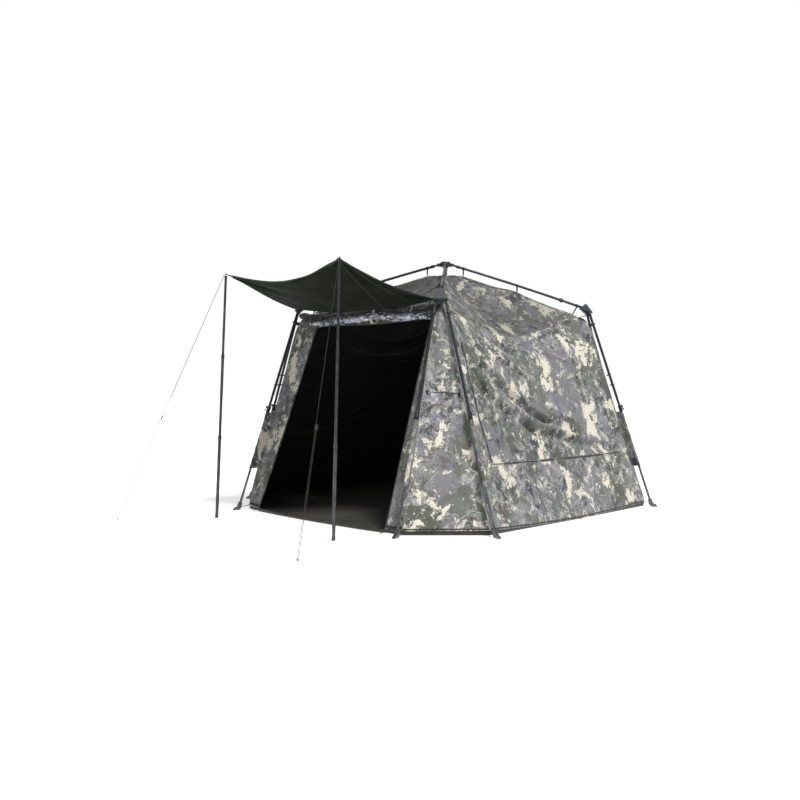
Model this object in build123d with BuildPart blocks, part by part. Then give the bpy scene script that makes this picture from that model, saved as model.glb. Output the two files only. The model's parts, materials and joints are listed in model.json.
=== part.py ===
"""Quick-erect fishing shelter with an external frame.

A hub over the roof carries four arms.  Each arm ends in a corner knuckle with two telescopic
legs.  The cloth body hangs inside the frame, and an awning stands on two telescopic poles in
front of the open door.  Millimetres, +Z up, door towards -Y, origin on the ground under the hub.
"""

import math
import os

from build123d import *

os.makedirs("parts", exist_ok=True)

UP = Vector(0, 0, 1)
MIDDLE_LOW = (Align.CENTER, Align.CENTER, Align.MIN)

# ---------------------------------------------------------------- driving dimensions
# Frame
hub_height = 2100            # arm pivots above the ground
hub_radius = 77              # out to the tips of the ears
pivot_radius = 64            # arm pivots from the hub's axis
corner_angle = math.degrees(math.atan2(989, 839))   # azimuth of the corners from the X axis
arm_tube_radius = 11
tube_wall = 1.4
arm_slope = 0.3125           # drop over run of an arm
arm_bow = 7                  # rise of the sprung arm over its chord
arm_start_radius = 98        # the tube's ends, measured from the hub's axis
arm_end_radius = 1250
knuckle_outline = [(1212, 1724), (1266, 1768), (1322, 1688), (1288, 1656)]   # radius, height
knuckle_half_width = 24
hood_outline = [(1214, 1723), (1266, 1768), (1322, 1688), (1310, 1681), (1293, 1695), (1216, 1720)]
hood_half_widths = (25, 43)  # at its top and at its lower edge
leg_pin_radius = 1293
leg_pin_height = 1678
leg_pin_offset = 37          # leg pins to each side of the arm
end_foot = (934, 1537)       # ankle of the leg that splays to the front or back
side_foot = (1415, 1069)     # ankle of the leg that splays sideways
ankle_height = 40
upper_leg_radius = 11
lower_leg_radius = 9.5
leg_lock_distance = 888      # from the leg pin to the middle of the lock
leg_overlap = 105            # lower leg inside the upper one
leg_travel = 720
clip_radii = [160, 643, 1188]                        # roof clips, from the hub's axis
fitting_radius = 1042                                # clamp sleeve on the arm

# Fold: the hub drops, the arms swing up and the legs hang straight down
hub_drop = 1600
folded_arm_angle = 88        # the line from hub pivot to leg pin, above the horizon

# Cloth
cloth = 2.0
plate_gap = 3.0              # each cloth plate stops this far inside its own outline
apex_height = 2004
ridge_points = [(640, 1856), (1143, 1668)]           # radius, height: mid ridge and eave corner
shoulder = (1281, 1571)      # radius, height where the cloth is pulled out to the legs
shoulder_half_width = 50
hem_end = (906, 1463, 32)    # hem corner beside the end leg
hem_side = (1345, 1030, 36)  # hem corner beside the side leg, at the front
hem_side_back = (1372, 1048, 36)
side_fold = (717, 1443)      # middle of the side eave: X, height
back_fold = (850, 1470)      # middle of the back eave: Y, height
front_fold = (868, 1640)     # middle of the front eave: Y, height
hem_middle_side = 1372
hem_middle_back = 1492
hem_middle_height = 6
door_left = [(-530, 1510), (-756, 30)]               # X, height of the opening's left edge
door_right = [(756, 1395), (734, 32)]                # X, height of the opening's right edge

# Rolled doors over the opening
door_roll_ends = (-830, 790)                         # X
door_roll_radius = 27
door_roll_centre = (-962, 1638)                      # Y, Z
mesh_roll_ends = (-640, 760)                         # X
mesh_roll_radius = 28
mesh_roll_centre = (-992, 1580)
tie_positions = [-605, -270, 128, 556, 735]          # X
tie_width = 24
tie_thickness = 2
header_hem = (765, -915, 1560)                       # lower corner of the strip behind them

# Groundsheet
sheet_thickness = 3
sheet_outline = [(0, -1512), (745, -1492), (893, -1440), (1322, -1018), (1348, 0),
                 (1322, 1018), (893, 1440), (0, 1468)]

# Awning and its poles
awning_front = (677, -1838, 1919)
awning_front_dip = 84
awning_rear = (800, -1005, 1708)
awning_rear_middle = (0, -968, 1690)
pole_foot = (701, -1919)
pole_radii = [12.5, 11.0, 9.5]                       # lower, middle and top section
pole_wall = 1.2
pole_joints = [640, 1280]                            # along the pole from the ground
pole_overlap = 80
pole_collar = (30, 22, 2.0)                          # length, grip on the tube, wall
pole_foot_plug = 30
pole_cap = (16, 1.5)                                 # length, wall
pole_spike_radius = 3
pole_travel = 540
pole_spike = 30

# Guy lines
guy_peg = (1104, -2552)
guy_radius = 1.75
guy_gap = 9.0                # between the two strands below the tensioner
guy_loop_height = 14
tensioner_share = 0.59       # of the way from pole top to peg
tensioner_size = (20, 8, 34)
peg_radius = 2.5
peg_neck = 14                 # from the eye up to the hook's bend
peg_hook = 18

CORNERS = {
    "front_left": (-1, -1),
    "front_right": (1, -1),
    "back_left": (-1, 1),
    "back_right": (1, 1),
}
SIDES = {"left": -1, "right": 1}


# ---------------------------------------------------------------- places worked out from them
def outward(sx, sy):
    """Horizontal direction from the hub to a corner."""
    angle = math.radians(corner_angle)
    return Vector(sx * math.cos(angle), sy * math.sin(angle), 0)


def towards_end(sx, sy):
    """Horizontal direction square to the arm, towards the front or back of the shelter."""
    angle = math.radians(corner_angle)
    return Vector(-sx * math.sin(angle), sy * math.cos(angle), 0)


def corner_plane(sx, sy):
    """Upright plane through the arm: X is the radius from the hub's axis and Y the height."""
    away = outward(sx, sy)
    return Plane(origin=(0, 0, 0), x_dir=away, z_dir=away.cross(UP))


def arm_height(radius):
    """Height of the arm's axis, without its bow, at a radius."""
    return hub_height - arm_slope * (radius - pivot_radius)


arm_swing = folded_arm_angle + math.degrees(
    math.atan2(hub_height - leg_pin_height, leg_pin_radius - pivot_radius)
)


class Leg:
    """Where one leg is and how it folds. Local Z runs down the leg and local Y points outwards."""

    def __init__(self, sx, sy, kind):
        away = outward(sx, sy)
        side = towards_end(sx, sy) * (1 if kind == "end" else -1)
        foot = end_foot if kind == "end" else side_foot
        self.pin = away * leg_pin_radius + side * leg_pin_offset + UP * leg_pin_height
        self.ankle = Vector(sx * foot[0], sy * foot[1], ankle_height)
        self.down = (self.ankle - self.pin).normalized()
        self.length = (self.ankle - self.pin).length
        swing = math.radians(arm_swing)
        folded = UP * -math.cos(swing) - away * math.sin(swing)
        self.hinge = self.down.cross(folded).normalized()
        self.swing = self.down.get_angle(folded)
        self.plane = Plane(origin=self.pin, x_dir=self.hinge, z_dir=self.down)


LEGS = {
    f"{corner}_{kind}": Leg(sx, sy, kind)
    for corner, (sx, sy) in CORNERS.items()
    for kind in ("end", "side")
}


def save(part, name):
    """Labels a finished sub-part and writes it."""
    part.label = name
    export_step(part, f"parts/{name}.step")


def hollow_tube(radius, bore, start, end):
    """A tube along the current workplane's Z."""
    with Locations((0, 0, start)):
        Cylinder(radius, end - start, align=MIDDLE_LOW)
        Cylinder(bore, end - start, align=MIDDLE_LOW, mode=Mode.SUBTRACT)


# ---------------------------------------------------------------- hub
disc_radius = 52
disc_half_height = 14
ear_width = 26
ear_reach = 12                # of the ears inside the pivots
ear_thickness = 6
slot_half_width = 8
slot_length = 60
hub_pin_radius = 3
boss_bottom = hub_height - 30
boss_radii = (20, 24)
boss_chamfer = 6
tab_size = 16                 # square tab under the boss
tab_half_thickness = 2.5
ring_hole_height = boss_bottom - 8
ring_radius = 14
ring_wire = 2.5
cap_radius = 45
cap_height = 13
cap_rounding = 10

with BuildPart() as hub_body:
    with BuildSketch(Plane.XZ):
        with BuildLine():
            Polyline(
                (0, boss_bottom), (boss_radii[0], boss_bottom),
                (boss_radii[1], boss_bottom + boss_chamfer),
                (boss_radii[1], hub_height - disc_half_height),
                (disc_radius, hub_height - disc_half_height),
                (disc_radius, hub_height + disc_half_height),
                (0, hub_height + disc_half_height), (0, boss_bottom),
            )
        make_face()
    revolve(axis=Axis.Z)
    for sx, sy in CORNERS.values():
        with BuildSketch(corner_plane(sx, sy)):
            with Locations((pivot_radius - ear_reach, hub_height)):
                SlotOverall(2 * (hub_radius - pivot_radius + ear_reach), ear_width)
        extrude(amount=slot_half_width + ear_thickness, both=True)
    for sx, sy in CORNERS.values():
        slot_centre = outward(sx, sy) * (disc_radius - 1 + slot_length / 2) + UP * hub_height
        with BuildSketch(Plane(origin=slot_centre, x_dir=outward(sx, sy), z_dir=UP)):
            Rectangle(slot_length, 2 * slot_half_width)
        extrude(amount=ear_width, both=True, mode=Mode.SUBTRACT)
        with BuildSketch(corner_plane(sx, sy)):
            with Locations((pivot_radius, hub_height)):
                Circle(hub_pin_radius)
        extrude(amount=slot_half_width + ear_thickness, both=True, mode=Mode.SUBTRACT)
    with BuildSketch(Plane.YZ):
        with Locations((0, ring_hole_height + 2)):
            Rectangle(tab_size, tab_size)
        with Locations((0, ring_hole_height)):
            Circle(ring_wire + 0.8, mode=Mode.SUBTRACT)
    extrude(amount=tab_half_thickness, both=True)
save(hub_body.part, "hub_body")

with BuildPart() as hub_cap:
    with BuildSketch(Plane.XY.offset(hub_height + disc_half_height)):
        Circle(cap_radius)
    extrude(amount=cap_height)
    cap_rim = hub_cap.edges().group_by(Axis.Z)[-1]
    fillet(cap_rim, cap_rounding)
save(hub_cap.part, "hub_cap")

with BuildPart() as hub_pins:
    for sx, sy in CORNERS.values():
        with BuildSketch(corner_plane(sx, sy)):
            with Locations((pivot_radius, hub_height)):
                Circle(hub_pin_radius)
        extrude(amount=slot_half_width + ear_thickness, both=True)
save(hub_pins.part, "hub_pins")

# Steel ring that the roof's centre strap hangs from, held by the tab under the hub
with BuildPart() as hub_ring:
    with Locations((0, 0, ring_hole_height - ring_radius)):
        Torus(ring_radius, ring_wire, rotation=(90, 0, 0))
save(hub_ring.part, "hub_ring")


# ---------------------------------------------------------------- arms and knuckles
tongue_half_width = 7.5
tongue_half_height = 8
tongue_eye_radius = 11
socket_radius = 14
socket_length = 30
fitting_size = (15, 36)       # radius and length of the clamp sleeve
fitting_ears = (12, 40, 10)   # its clamp ears
clip_radius = 14.5
clip_length = 18
clip_half_width = 7
pin_radius = 3
pin_reach = 22                # of a leg pin inside the knuckle
pin_head = (6.5, 3)           # radius, thickness
clip_drops = [58, 52, 70]     # how far each roof clip hangs under the arm's axis
clip_leans = [0, 2, 38]       # how far its foot lies inwards
cheek_inner = 8.5             # knuckle cheeks, from the middle of the leg's eye
cheek_outer = 12.5
cheek_radius = 13
web_start, web_end = -2, 14   # the web that carries a cheek, outwards from the pin
web_bottom, web_top = 12.5, 19
eye_clearance = 14.5


def arm_path(plane):
    """Bowed centre line of an arm's tube."""
    middle = (arm_start_radius + arm_end_radius) / 2
    with BuildLine(plane) as path:
        ThreePointArc(
            (arm_start_radius, arm_height(arm_start_radius)),
            (middle, arm_height(middle) + arm_bow),
            (arm_end_radius, arm_height(arm_end_radius)),
        )
    return path.line


def swept_rod(path, radius):
    """A round rod along a path."""
    with BuildPart(mode=Mode.PRIVATE) as rod:
        with BuildSketch(Plane(origin=path @ 0, z_dir=path % 0)):
            Circle(radius)
        sweep(path=path)
    return rod.part


def place_on_arm(plane, path, radius):
    """Plane square to the arm's tube at a radius from the hub's axis."""
    share = (radius - arm_start_radius) / (arm_end_radius - arm_start_radius)
    along = path % share
    return Plane(origin=path @ share, x_dir=plane.z_dir, z_dir=along)


def make_arm(sx, sy, name):
    plane = corner_plane(sx, sy)
    path = arm_path(plane)
    rod = swept_rod(path, arm_tube_radius)
    bore = swept_rod(path, arm_tube_radius - tube_wall)

    with BuildPart() as end_fitting:
        with BuildSketch(plane):
            with Locations((pivot_radius, hub_height)):
                Circle(tongue_eye_radius)
            with BuildLine():
                near, far = pivot_radius + 2, arm_start_radius + 4
                rise = tongue_half_height
                Polyline(
                    (near, arm_height(near) + rise), (far, arm_height(far) + rise),
                    (far, arm_height(far) - rise), (near, arm_height(near) - rise), close=True,
                )
            make_face()
            with Locations((pivot_radius, hub_height)):
                Circle(hub_pin_radius + 0.2, mode=Mode.SUBTRACT)
        extrude(amount=tongue_half_width, both=True)
        with BuildSketch(place_on_arm(plane, path, arm_start_radius - 3)):
            Circle(socket_radius)
        extrude(amount=socket_length)
        add(rod, mode=Mode.SUBTRACT)

    with BuildPart() as arm:
        add(rod)
        add(bore, mode=Mode.SUBTRACT)
    pieces = [end_fitting.part, arm.part]

    with BuildPart() as sleeve:
        radius, length = fitting_size
        width, height, thickness = fitting_ears
        with BuildSketch(place_on_arm(plane, path, fitting_radius - length / 2)):
            Circle(radius)
        extrude(amount=length)
        with BuildSketch(place_on_arm(plane, path, fitting_radius - thickness / 2)):
            Rectangle(width, height)
        extrude(amount=thickness)
        add(rod, mode=Mode.SUBTRACT)
    pieces.append(sleeve.part)

    for radius, drop, lean in zip(clip_radii, clip_drops, clip_leans):
        with BuildPart() as clip:
            with BuildSketch(place_on_arm(plane, path, radius - clip_length / 2)):
                Circle(clip_radius)
            extrude(amount=clip_length)
            with BuildSketch(plane):
                top, foot = arm_height(radius) - 6, arm_height(radius) - drop
                with BuildLine():
                    Polyline(
                        (radius - 6, top), (radius + 6, top),
                        (radius + 5 - lean, foot), (radius - 5 - lean, foot), close=True,
                    )
                make_face()
            extrude(amount=clip_half_width, both=True)
            add(rod, mode=Mode.SUBTRACT)
        pieces.append(clip.part)
    save(Compound(children=pieces), name)
    return rod


def make_hood(sx, sy, plane, eye_planes):
    """Top of the knuckle, spreading over both leg eyes and clear of them."""
    top, low = hood_half_widths
    heights = [height for _, height in hood_outline]
    side = towards_end(sx, sy)
    with BuildPart(mode=Mode.PRIVATE) as hood:
        with BuildSketch(plane):
            with BuildLine():
                Polyline(*hood_outline, close=True)
            make_face()
        extrude(amount=low, both=True)
        behind = Plane(origin=outward(sx, sy) * hood_outline[0][0], x_dir=side, z_dir=side.cross(UP))
        with BuildSketch(behind):
            with BuildLine():
                Polyline(
                    (-low, min(heights)), (low, min(heights)), (top, max(heights)), (-top, max(heights)),
                    close=True,
                )
            make_face()
        extrude(amount=4 * leg_pin_offset, both=True, mode=Mode.INTERSECT)
        for eye_plane in eye_planes:
            with BuildSketch(eye_plane.offset(-knuckle_half_width)):
                Circle(eye_clearance)
            extrude(amount=2 * knuckle_half_width, mode=Mode.SUBTRACT)
    return hood.part


def make_knuckle(sx, sy, corner, rod):
    """Hooded block on the arm's end, an outer cheek beyond each leg's eye, and the two leg pins."""
    plane = corner_plane(sx, sy)
    pin_parts = []
    cheek_planes = []
    for kind in ("end", "side"):
        leg = LEGS[f"{corner}_{kind}"]
        side = towards_end(sx, sy) * (1 if kind == "end" else -1)
        way_out = leg.hinge * (1 if leg.hinge.dot(side) > 0 else -1)
        away = (outward(sx, sy) - way_out * way_out.dot(outward(sx, sy))).normalized()
        cheek_planes.append(Plane(origin=leg.pin, x_dir=away, z_dir=way_out))
        with BuildPart() as pin:
            with BuildSketch(Plane(origin=leg.pin - way_out * pin_reach, z_dir=way_out)):
                Circle(pin_radius)
            extrude(amount=pin_reach + cheek_outer)
            with BuildSketch(Plane(origin=leg.pin + way_out * cheek_outer, z_dir=way_out)):
                Circle(pin_head[0])
            extrude(amount=pin_head[1])
        pin_parts.append(pin.part)
    with BuildPart() as block:
        with BuildSketch(plane):
            with BuildLine():
                Polyline(*knuckle_outline, close=True)
            make_face()
            fillet(vertices(), 6)
        extrude(amount=knuckle_half_width, both=True)
        rims = block.edges().filter_by(
            lambda edge: abs(edge.center().dot(plane.z_dir)) > knuckle_half_width - 1
        )
        chamfer(rims, 2)
        add(make_hood(sx, sy, plane, cheek_planes))
        for cheek_plane in cheek_planes:
            rise = 1 if cheek_plane.y_dir.Z > 0 else -1
            with BuildSketch(cheek_plane.offset(cheek_inner)):
                Circle(cheek_radius)
                with Locations(((web_start + web_end) / 2, rise * web_top / 2)):
                    Rectangle(web_end - web_start, web_top)
            extrude(amount=cheek_outer - cheek_inner)
            with BuildSketch(cheek_plane.offset(cheek_inner)):
                with Locations(((web_start + web_end) / 2, rise * (web_top + web_bottom) / 2)):
                    Rectangle(web_end - web_start, web_top - web_bottom)
            extrude(amount=-cheek_inner - leg_pin_offset + knuckle_half_width - 4)
        add(rod, mode=Mode.SUBTRACT)
        for pin in pin_parts:
            add(pin, mode=Mode.SUBTRACT)
    save(Compound(children=[block.part] + pin_parts), f"knuckle_{corner}")


for corner, (sx, sy) in CORNERS.items():
    arm_rod = make_arm(sx, sy, f"roof_arm_{corner}")
    make_knuckle(sx, sy, corner, arm_rod)


# ---------------------------------------------------------------- legs
eye_radius = 11
eye_thickness = 14
neck_length = 24
eye_bore = 3.2
neck_plug = 24
collar_radius = 16
collar_length = 56
collar_wall = 2
lever_ears = (19, 16, 16)     # box that carries the lever's pivot
lever_gap = (13, 24, 40)      # cut through it
end_ring = (1, 9)             # wall and length of the ring on the tube's lower end
lever_hub = (4, 12)           # radius, length
lever_bar = (12, 4, 34)
lever_tip = (6, 12)           # radius, length
upper_end = leg_lock_distance + 18
lever_pivot_out = 22          # lever pivot outwards from the leg's axis
lever_pivot_down = leg_lock_distance - 20
lever_swing = 110


def make_upper_leg(leg, name):
    with BuildPart(leg.plane) as eye:
        with BuildSketch(Plane(origin=leg.pin, x_dir=leg.down, z_dir=leg.hinge)):
            Circle(eye_radius)
            with Locations((neck_length / 2, 0)):
                Rectangle(neck_length, 2 * eye_radius - 2)
            Circle(eye_bore, mode=Mode.SUBTRACT)
        extrude(amount=eye_thickness / 2, both=True)
        with Locations((0, 0, neck_length)):
            Cylinder(upper_leg_radius - tube_wall - 0.2, neck_plug, align=MIDDLE_LOW)
    with BuildPart(leg.plane) as tube:
        bore = upper_leg_radius - tube_wall + 0.2
        hollow_tube(upper_leg_radius, bore, neck_length, upper_end)
    with BuildPart(leg.plane) as collar:
        top = leg_lock_distance - collar_length / 2
        with Locations((0, 0, top)):
            Cylinder(collar_radius, collar_length, align=MIDDLE_LOW)
        with Locations((0, lever_pivot_out - 4, lever_pivot_down)):
            Box(*lever_ears)
        with Locations((0, lever_pivot_out, lever_pivot_down)):
            Box(*lever_gap, mode=Mode.SUBTRACT)
        with Locations((0, 0, top)):
            Cylinder(collar_radius - collar_wall, collar_length, align=MIDDLE_LOW)
            Cylinder(upper_leg_radius, collar_length, align=MIDDLE_LOW, mode=Mode.SUBTRACT)
        with Locations((0, 0, upper_end)):
            wall_thickness, length = end_ring
            Cylinder(upper_leg_radius + wall_thickness, length, align=MIDDLE_LOW)
            Cylinder(lower_leg_radius + 0.4, 2 * length, align=MIDDLE_LOW, mode=Mode.SUBTRACT)
    save(Compound(children=[eye.part, tube.part, collar.part]), f"upper_leg_{name}")


def make_leg_lock(leg, name):
    with BuildPart(leg.plane) as lever:
        with Locations((0, lever_pivot_out, lever_pivot_down)):
            Cylinder(*lever_hub, rotation=(0, 90, 0))
        with Locations((0, lever_pivot_out + 2, lever_pivot_down + lever_bar[2] / 2)):
            Box(*lever_bar)
        with Locations((0, lever_pivot_out + 6, lever_pivot_down + lever_bar[2] - 3)):
            Cylinder(*lever_tip, rotation=(0, 90, 0))
    save(lever.part, f"leg_lock_{name}")


foot_outline = [(-20, 20), (4.5, 28), (20, -10), (48, -24), (56, -31), (56, -40), (6, -40), (-10, -22)]
foot_half_width = 11.5
foot_hole = (42, 4.5)         # distance in front of the ankle, radius


def make_lower_leg(leg, name):
    with BuildPart(leg.plane) as tube:
        bore = lower_leg_radius - tube_wall
        hollow_tube(lower_leg_radius, bore, upper_end - leg_overlap, leg.length)
    flat = Vector(leg.down.X, leg.down.Y, 0).normalized()
    with BuildPart() as foot:
        with BuildSketch(Plane(origin=leg.ankle, x_dir=flat, z_dir=flat.cross(UP))):
            with BuildLine():
                Polyline(*foot_outline, close=True)
            make_face()
        extrude(amount=foot_half_width, both=True)
        with BuildSketch(Plane(origin=leg.ankle, z_dir=-leg.down)):
            Circle(lower_leg_radius)
        extrude(amount=60, mode=Mode.SUBTRACT)
        with BuildSketch(Plane(origin=leg.ankle + flat * foot_hole[0])):
            Circle(foot_hole[1])
        extrude(amount=60, both=True, mode=Mode.SUBTRACT)
    save(Compound(children=[tube.part, foot.part]), f"lower_leg_{name}")


for name, leg in LEGS.items():
    make_upper_leg(leg, name)
    make_leg_lock(leg, name)
    make_lower_leg(leg, name)


# ---------------------------------------------------------------- cloth body, as thin flat plates
def ridge_point(sx, sy, radius, height):
    return outward(sx, sy) * radius + UP * height


def shoulder_point(sx, sy, kind):
    way = 1 if kind == "end" else -1
    radius, height = shoulder
    return outward(sx, sy) * radius + towards_end(sx, sy) * way * shoulder_half_width + UP * height


def hem_corner(sx, sy, kind):
    if kind == "end":
        x, y, z = hem_end
    else:
        x, y, z = hem_side if sy < 0 else hem_side_back
    return Vector(sx * x, sy * y, z)


def plate(*points):
    """A flat cloth plate through corner points, a little smaller than their outline."""
    points = [Vector(p) for p in points]
    normal = (points[1] - points[0]).cross(points[2] - points[0]).normalized()
    plane = Plane(origin=points[0], x_dir=(points[1] - points[0]).normalized(), z_dir=normal)
    flat = [plane.to_local_coords(p) for p in points]
    with BuildPart() as made:
        with BuildSketch(plane):
            with BuildLine():
                Polyline(*[(p.X, p.Y) for p in flat], close=True)
            make_face()
            offset(amount=-plate_gap, kind=Kind.INTERSECTION)
        extrude(amount=cloth / 2, both=True)
    return made.part


def roof_side(first, second, fold):
    """Plates of one roof slope, between two corners and down to the fold in the middle."""
    apex = (0, 0, apex_height)
    made = []
    for sx, sy in (first, second):
        middle, eave = [ridge_point(sx, sy, *p) for p in ridge_points]
        made.append(plate(apex, middle, fold))
        made.append(plate(middle, eave, fold))
    return made


def wall(first, second, kind, fold, hem):
    """Plates of one wall, from the eave corners and shoulders down to the hem."""
    made = []
    for sx, sy in (first, second):
        eave = ridge_point(sx, sy, *ridge_points[1])
        pulled = shoulder_point(sx, sy, kind)
        corner = hem_corner(sx, sy, kind)
        made.append(plate(eave, pulled, fold))
        made.append(plate(pulled, corner, fold))
        made.append(plate(corner, hem, fold))
    return made


front_left, front_right = CORNERS["front_left"], CORNERS["front_right"]
back_left, back_right = CORNERS["back_left"], CORNERS["back_right"]
left_fold = (-side_fold[0], 0, side_fold[1])
right_fold = (side_fold[0], 0, side_fold[1])
rear_fold = (0, back_fold[0], back_fold[1])
door_fold = (0, -front_fold[0], front_fold[1])

roof = (
    roof_side(front_left, front_right, door_fold)
    + roof_side(back_left, back_right, rear_fold)
    + roof_side(front_left, back_left, left_fold)
    + roof_side(front_right, back_right, right_fold)
)
save(Compound(children=roof), "roof_canopy")

for side, sx in SIDES.items():
    fold = (sx * side_fold[0], 0, side_fold[1])
    hem = (sx * hem_middle_side, 0, hem_middle_height)
    save(Compound(children=wall((sx, -1), (sx, 1), "side", fold, hem)), f"wall_{side}")

rear_hem = (0, hem_middle_back, hem_middle_height)
save(Compound(children=wall(back_left, back_right, "end", rear_fold, rear_hem)), "wall_back")


def front_point(x, height):
    """Point of the front wall's plane, through its shoulders and hem corners."""
    top, low = shoulder_point(1, -1, "end"), hem_corner(1, -1, "end")
    share = (top.Z - height) / (top.Z - low.Z)
    return Vector(x, top.Y + share * (low.Y - top.Y), height)


left_strip = plate(
    hem_corner(-1, -1, "end"), front_point(*door_left[1]),
    front_point(*door_left[0]), shoulder_point(-1, -1, "end"),
)
right_strip = plate(
    hem_corner(1, -1, "end"), front_point(*door_right[1]), front_point(*door_right[0]),
)
eave_left = ridge_point(*front_left, *ridge_points[1])
eave_right = ridge_point(*front_right, *ridge_points[1])
x, y, z = header_hem
header = plate(eave_left, eave_right, (x, y, z), (-x, y, z))
save(Compound(children=[left_strip, right_strip, header]), "wall_front")

corner_plates = []
for sx, sy in CORNERS.values():
    eave = ridge_point(sx, sy, *ridge_points[1])
    by_end, by_side = shoulder_point(sx, sy, "end"), shoulder_point(sx, sy, "side")
    low_end, low_side = hem_corner(sx, sy, "end"), hem_corner(sx, sy, "side")
    corner_plates.append(plate(eave, by_end, by_side))
    corner_plates.append(plate(by_end, low_end, low_side))
    corner_plates.append(plate(by_end, low_side, by_side))
save(Compound(children=corner_plates), "corner_panels")

with BuildPart() as groundsheet:
    with BuildSketch():
        with BuildLine():
            right_half = [p for p in sheet_outline if p[0] > 0]
            left_half = [(-x, y) for x, y in reversed(right_half)]
            Polyline(sheet_outline[0], *right_half, sheet_outline[-1], *left_half, close=True)
        make_face()
    extrude(amount=sheet_thickness)
save(groundsheet.part, "groundsheet")


# ---------------------------------------------------------------- rolled doors
def roll(ends, centre, radius, name):
    y, z = centre
    with BuildPart() as made:
        with BuildSketch(Plane(origin=(ends[0], y, z), x_dir=(0, 1, 0), z_dir=(1, 0, 0))):
            Circle(radius)
        extrude(amount=ends[1] - ends[0])
        fillet(made.edges().filter_by(GeomType.CIRCLE), radius / 4)
    save(made.part, name)


roll(door_roll_ends, door_roll_centre, door_roll_radius, "rolled_door")
roll(mesh_roll_ends, mesh_roll_centre, mesh_roll_radius, "rolled_mesh_door")

with BuildPart() as roll_ties:
    upper, lower = Vector(*door_roll_centre), Vector(*mesh_roll_centre)
    between, middle = lower - upper, (upper + lower) * 0.5
    tilt = math.degrees(math.atan2(between.Y, between.X))
    bore = 2 * mesh_roll_radius + 2
    for x in tie_positions:
        with BuildSketch(Plane(origin=(x - tie_width / 2, 0, 0), x_dir=(0, 1, 0), z_dir=(1, 0, 0))):
            with Locations((middle.X, middle.Y)):
                SlotCenterToCenter(between.length, bore + 2 * tie_thickness, rotation=tilt)
                SlotCenterToCenter(between.length, bore, rotation=tilt, mode=Mode.SUBTRACT)
        extrude(amount=tie_width)
save(roll_ties.part, "roll_ties")


# ---------------------------------------------------------------- awning
front_left_tip = Vector(-awning_front[0], awning_front[1], awning_front[2])
front_right_tip = Vector(*awning_front)
front_dip = Vector(0, awning_front[1], awning_front[2] - awning_front_dip)
rear_left = Vector(-awning_rear[0], awning_rear[1], awning_rear[2])
rear_right = Vector(*awning_rear)
rear_middle = Vector(*awning_rear_middle)
tip_inset = 0.985             # the cloth stops short of the pole spikes
awning_centre = (front_left_tip + front_right_tip + rear_left + rear_right) * 0.25
tips = [
    awning_centre + (tip - awning_centre) * tip_inset for tip in (front_left_tip, front_right_tip)
]
awning = [
    plate(tips[0], rear_left, front_dip),
    plate(rear_left, rear_middle, front_dip),
    plate(rear_middle, rear_right, front_dip),
    plate(rear_right, tips[1], front_dip),
]
save(Compound(children=awning), "awning")


# ---------------------------------------------------------------- awning poles
class Pole:
    """Local Z runs up the pole from the ground."""

    def __init__(self, sx):
        self.foot = Vector(sx * pole_foot[0], pole_foot[1], 0.6)
        self.top = Vector(sx * awning_front[0], awning_front[1], awning_front[2])
        self.up = (self.top - self.foot).normalized()
        self.length = (self.top - self.foot).length
        self.plane = Plane(origin=self.foot, x_dir=(1, 0, 0), z_dir=self.up)


POLES = {side: Pole(sx) for side, sx in SIDES.items()}


def pole_section(radius, start, end, collar_bore):
    """One tube of a pole with the lock collar on its upper end."""
    hollow_tube(radius, radius - pole_wall, start, end)
    length, grip, wall_thickness = pole_collar
    with Locations((0, 0, end - grip)):
        Cylinder(radius + wall_thickness, length, align=MIDDLE_LOW)
        Cylinder(radius, grip, align=MIDDLE_LOW, mode=Mode.SUBTRACT)
        Cylinder(collar_bore, length + 1, align=MIDDLE_LOW, mode=Mode.SUBTRACT)


for side, pole in POLES.items():
    lower_radius, middle_radius, top_radius = pole_radii
    with BuildPart(pole.plane) as lower:
        pole_section(lower_radius, pole_foot_plug / 2, pole_joints[0], middle_radius + 0.3)
        Cylinder(lower_radius + 1, pole_foot_plug, align=MIDDLE_LOW)
        with Locations((0, 0, pole_foot_plug / 2)):
            Cylinder(lower_radius - pole_wall, pole_foot_plug, align=MIDDLE_LOW, mode=Mode.SUBTRACT)
    save(lower.part, f"awning_pole_{side}_lower")
    with BuildPart(pole.plane) as middle:
        start = pole_joints[0] - pole_overlap
        pole_section(middle_radius - 0.15, start, pole_joints[1], top_radius + 0.3)
    save(middle.part, f"awning_pole_{side}_middle")
    with BuildPart(pole.plane) as top:
        start = pole_joints[1] - pole_overlap
        shaft_end = pole.length - pole_spike / 2
        hollow_tube(top_radius - 0.15, top_radius - pole_wall, start, shaft_end)
        cap_length, cap_wall = pole_cap
        with Locations((0, 0, shaft_end - cap_length + 4)):
            Cylinder(top_radius + cap_wall, cap_length, align=MIDDLE_LOW)
        with Locations((0, 0, shaft_end)):
            Cylinder(pole_spike_radius, pole_spike, align=MIDDLE_LOW)
    save(top.part, f"awning_pole_{side}_top")


# ---------------------------------------------------------------- guy lines
def guy_route(sx):
    """Corners of a guy line: pole top, round the peg, and back up to the tensioner."""
    peg = Vector(sx * guy_peg[0], guy_peg[1], guy_loop_height)
    top = Vector(sx * awning_front[0], awning_front[1], awning_front[2])
    down = (peg - top).normalized()
    across = down.cross(UP).normalized()
    start = top + Vector(down.X, down.Y, 0).normalized() * 12
    near, far = peg + across * guy_gap / 2, peg - across * guy_gap / 2
    strand = (near - start).normalized()
    back = (near - start).length * (1 - tensioner_share)
    return [start, near, far, far - strand * back], strand, across


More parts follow.
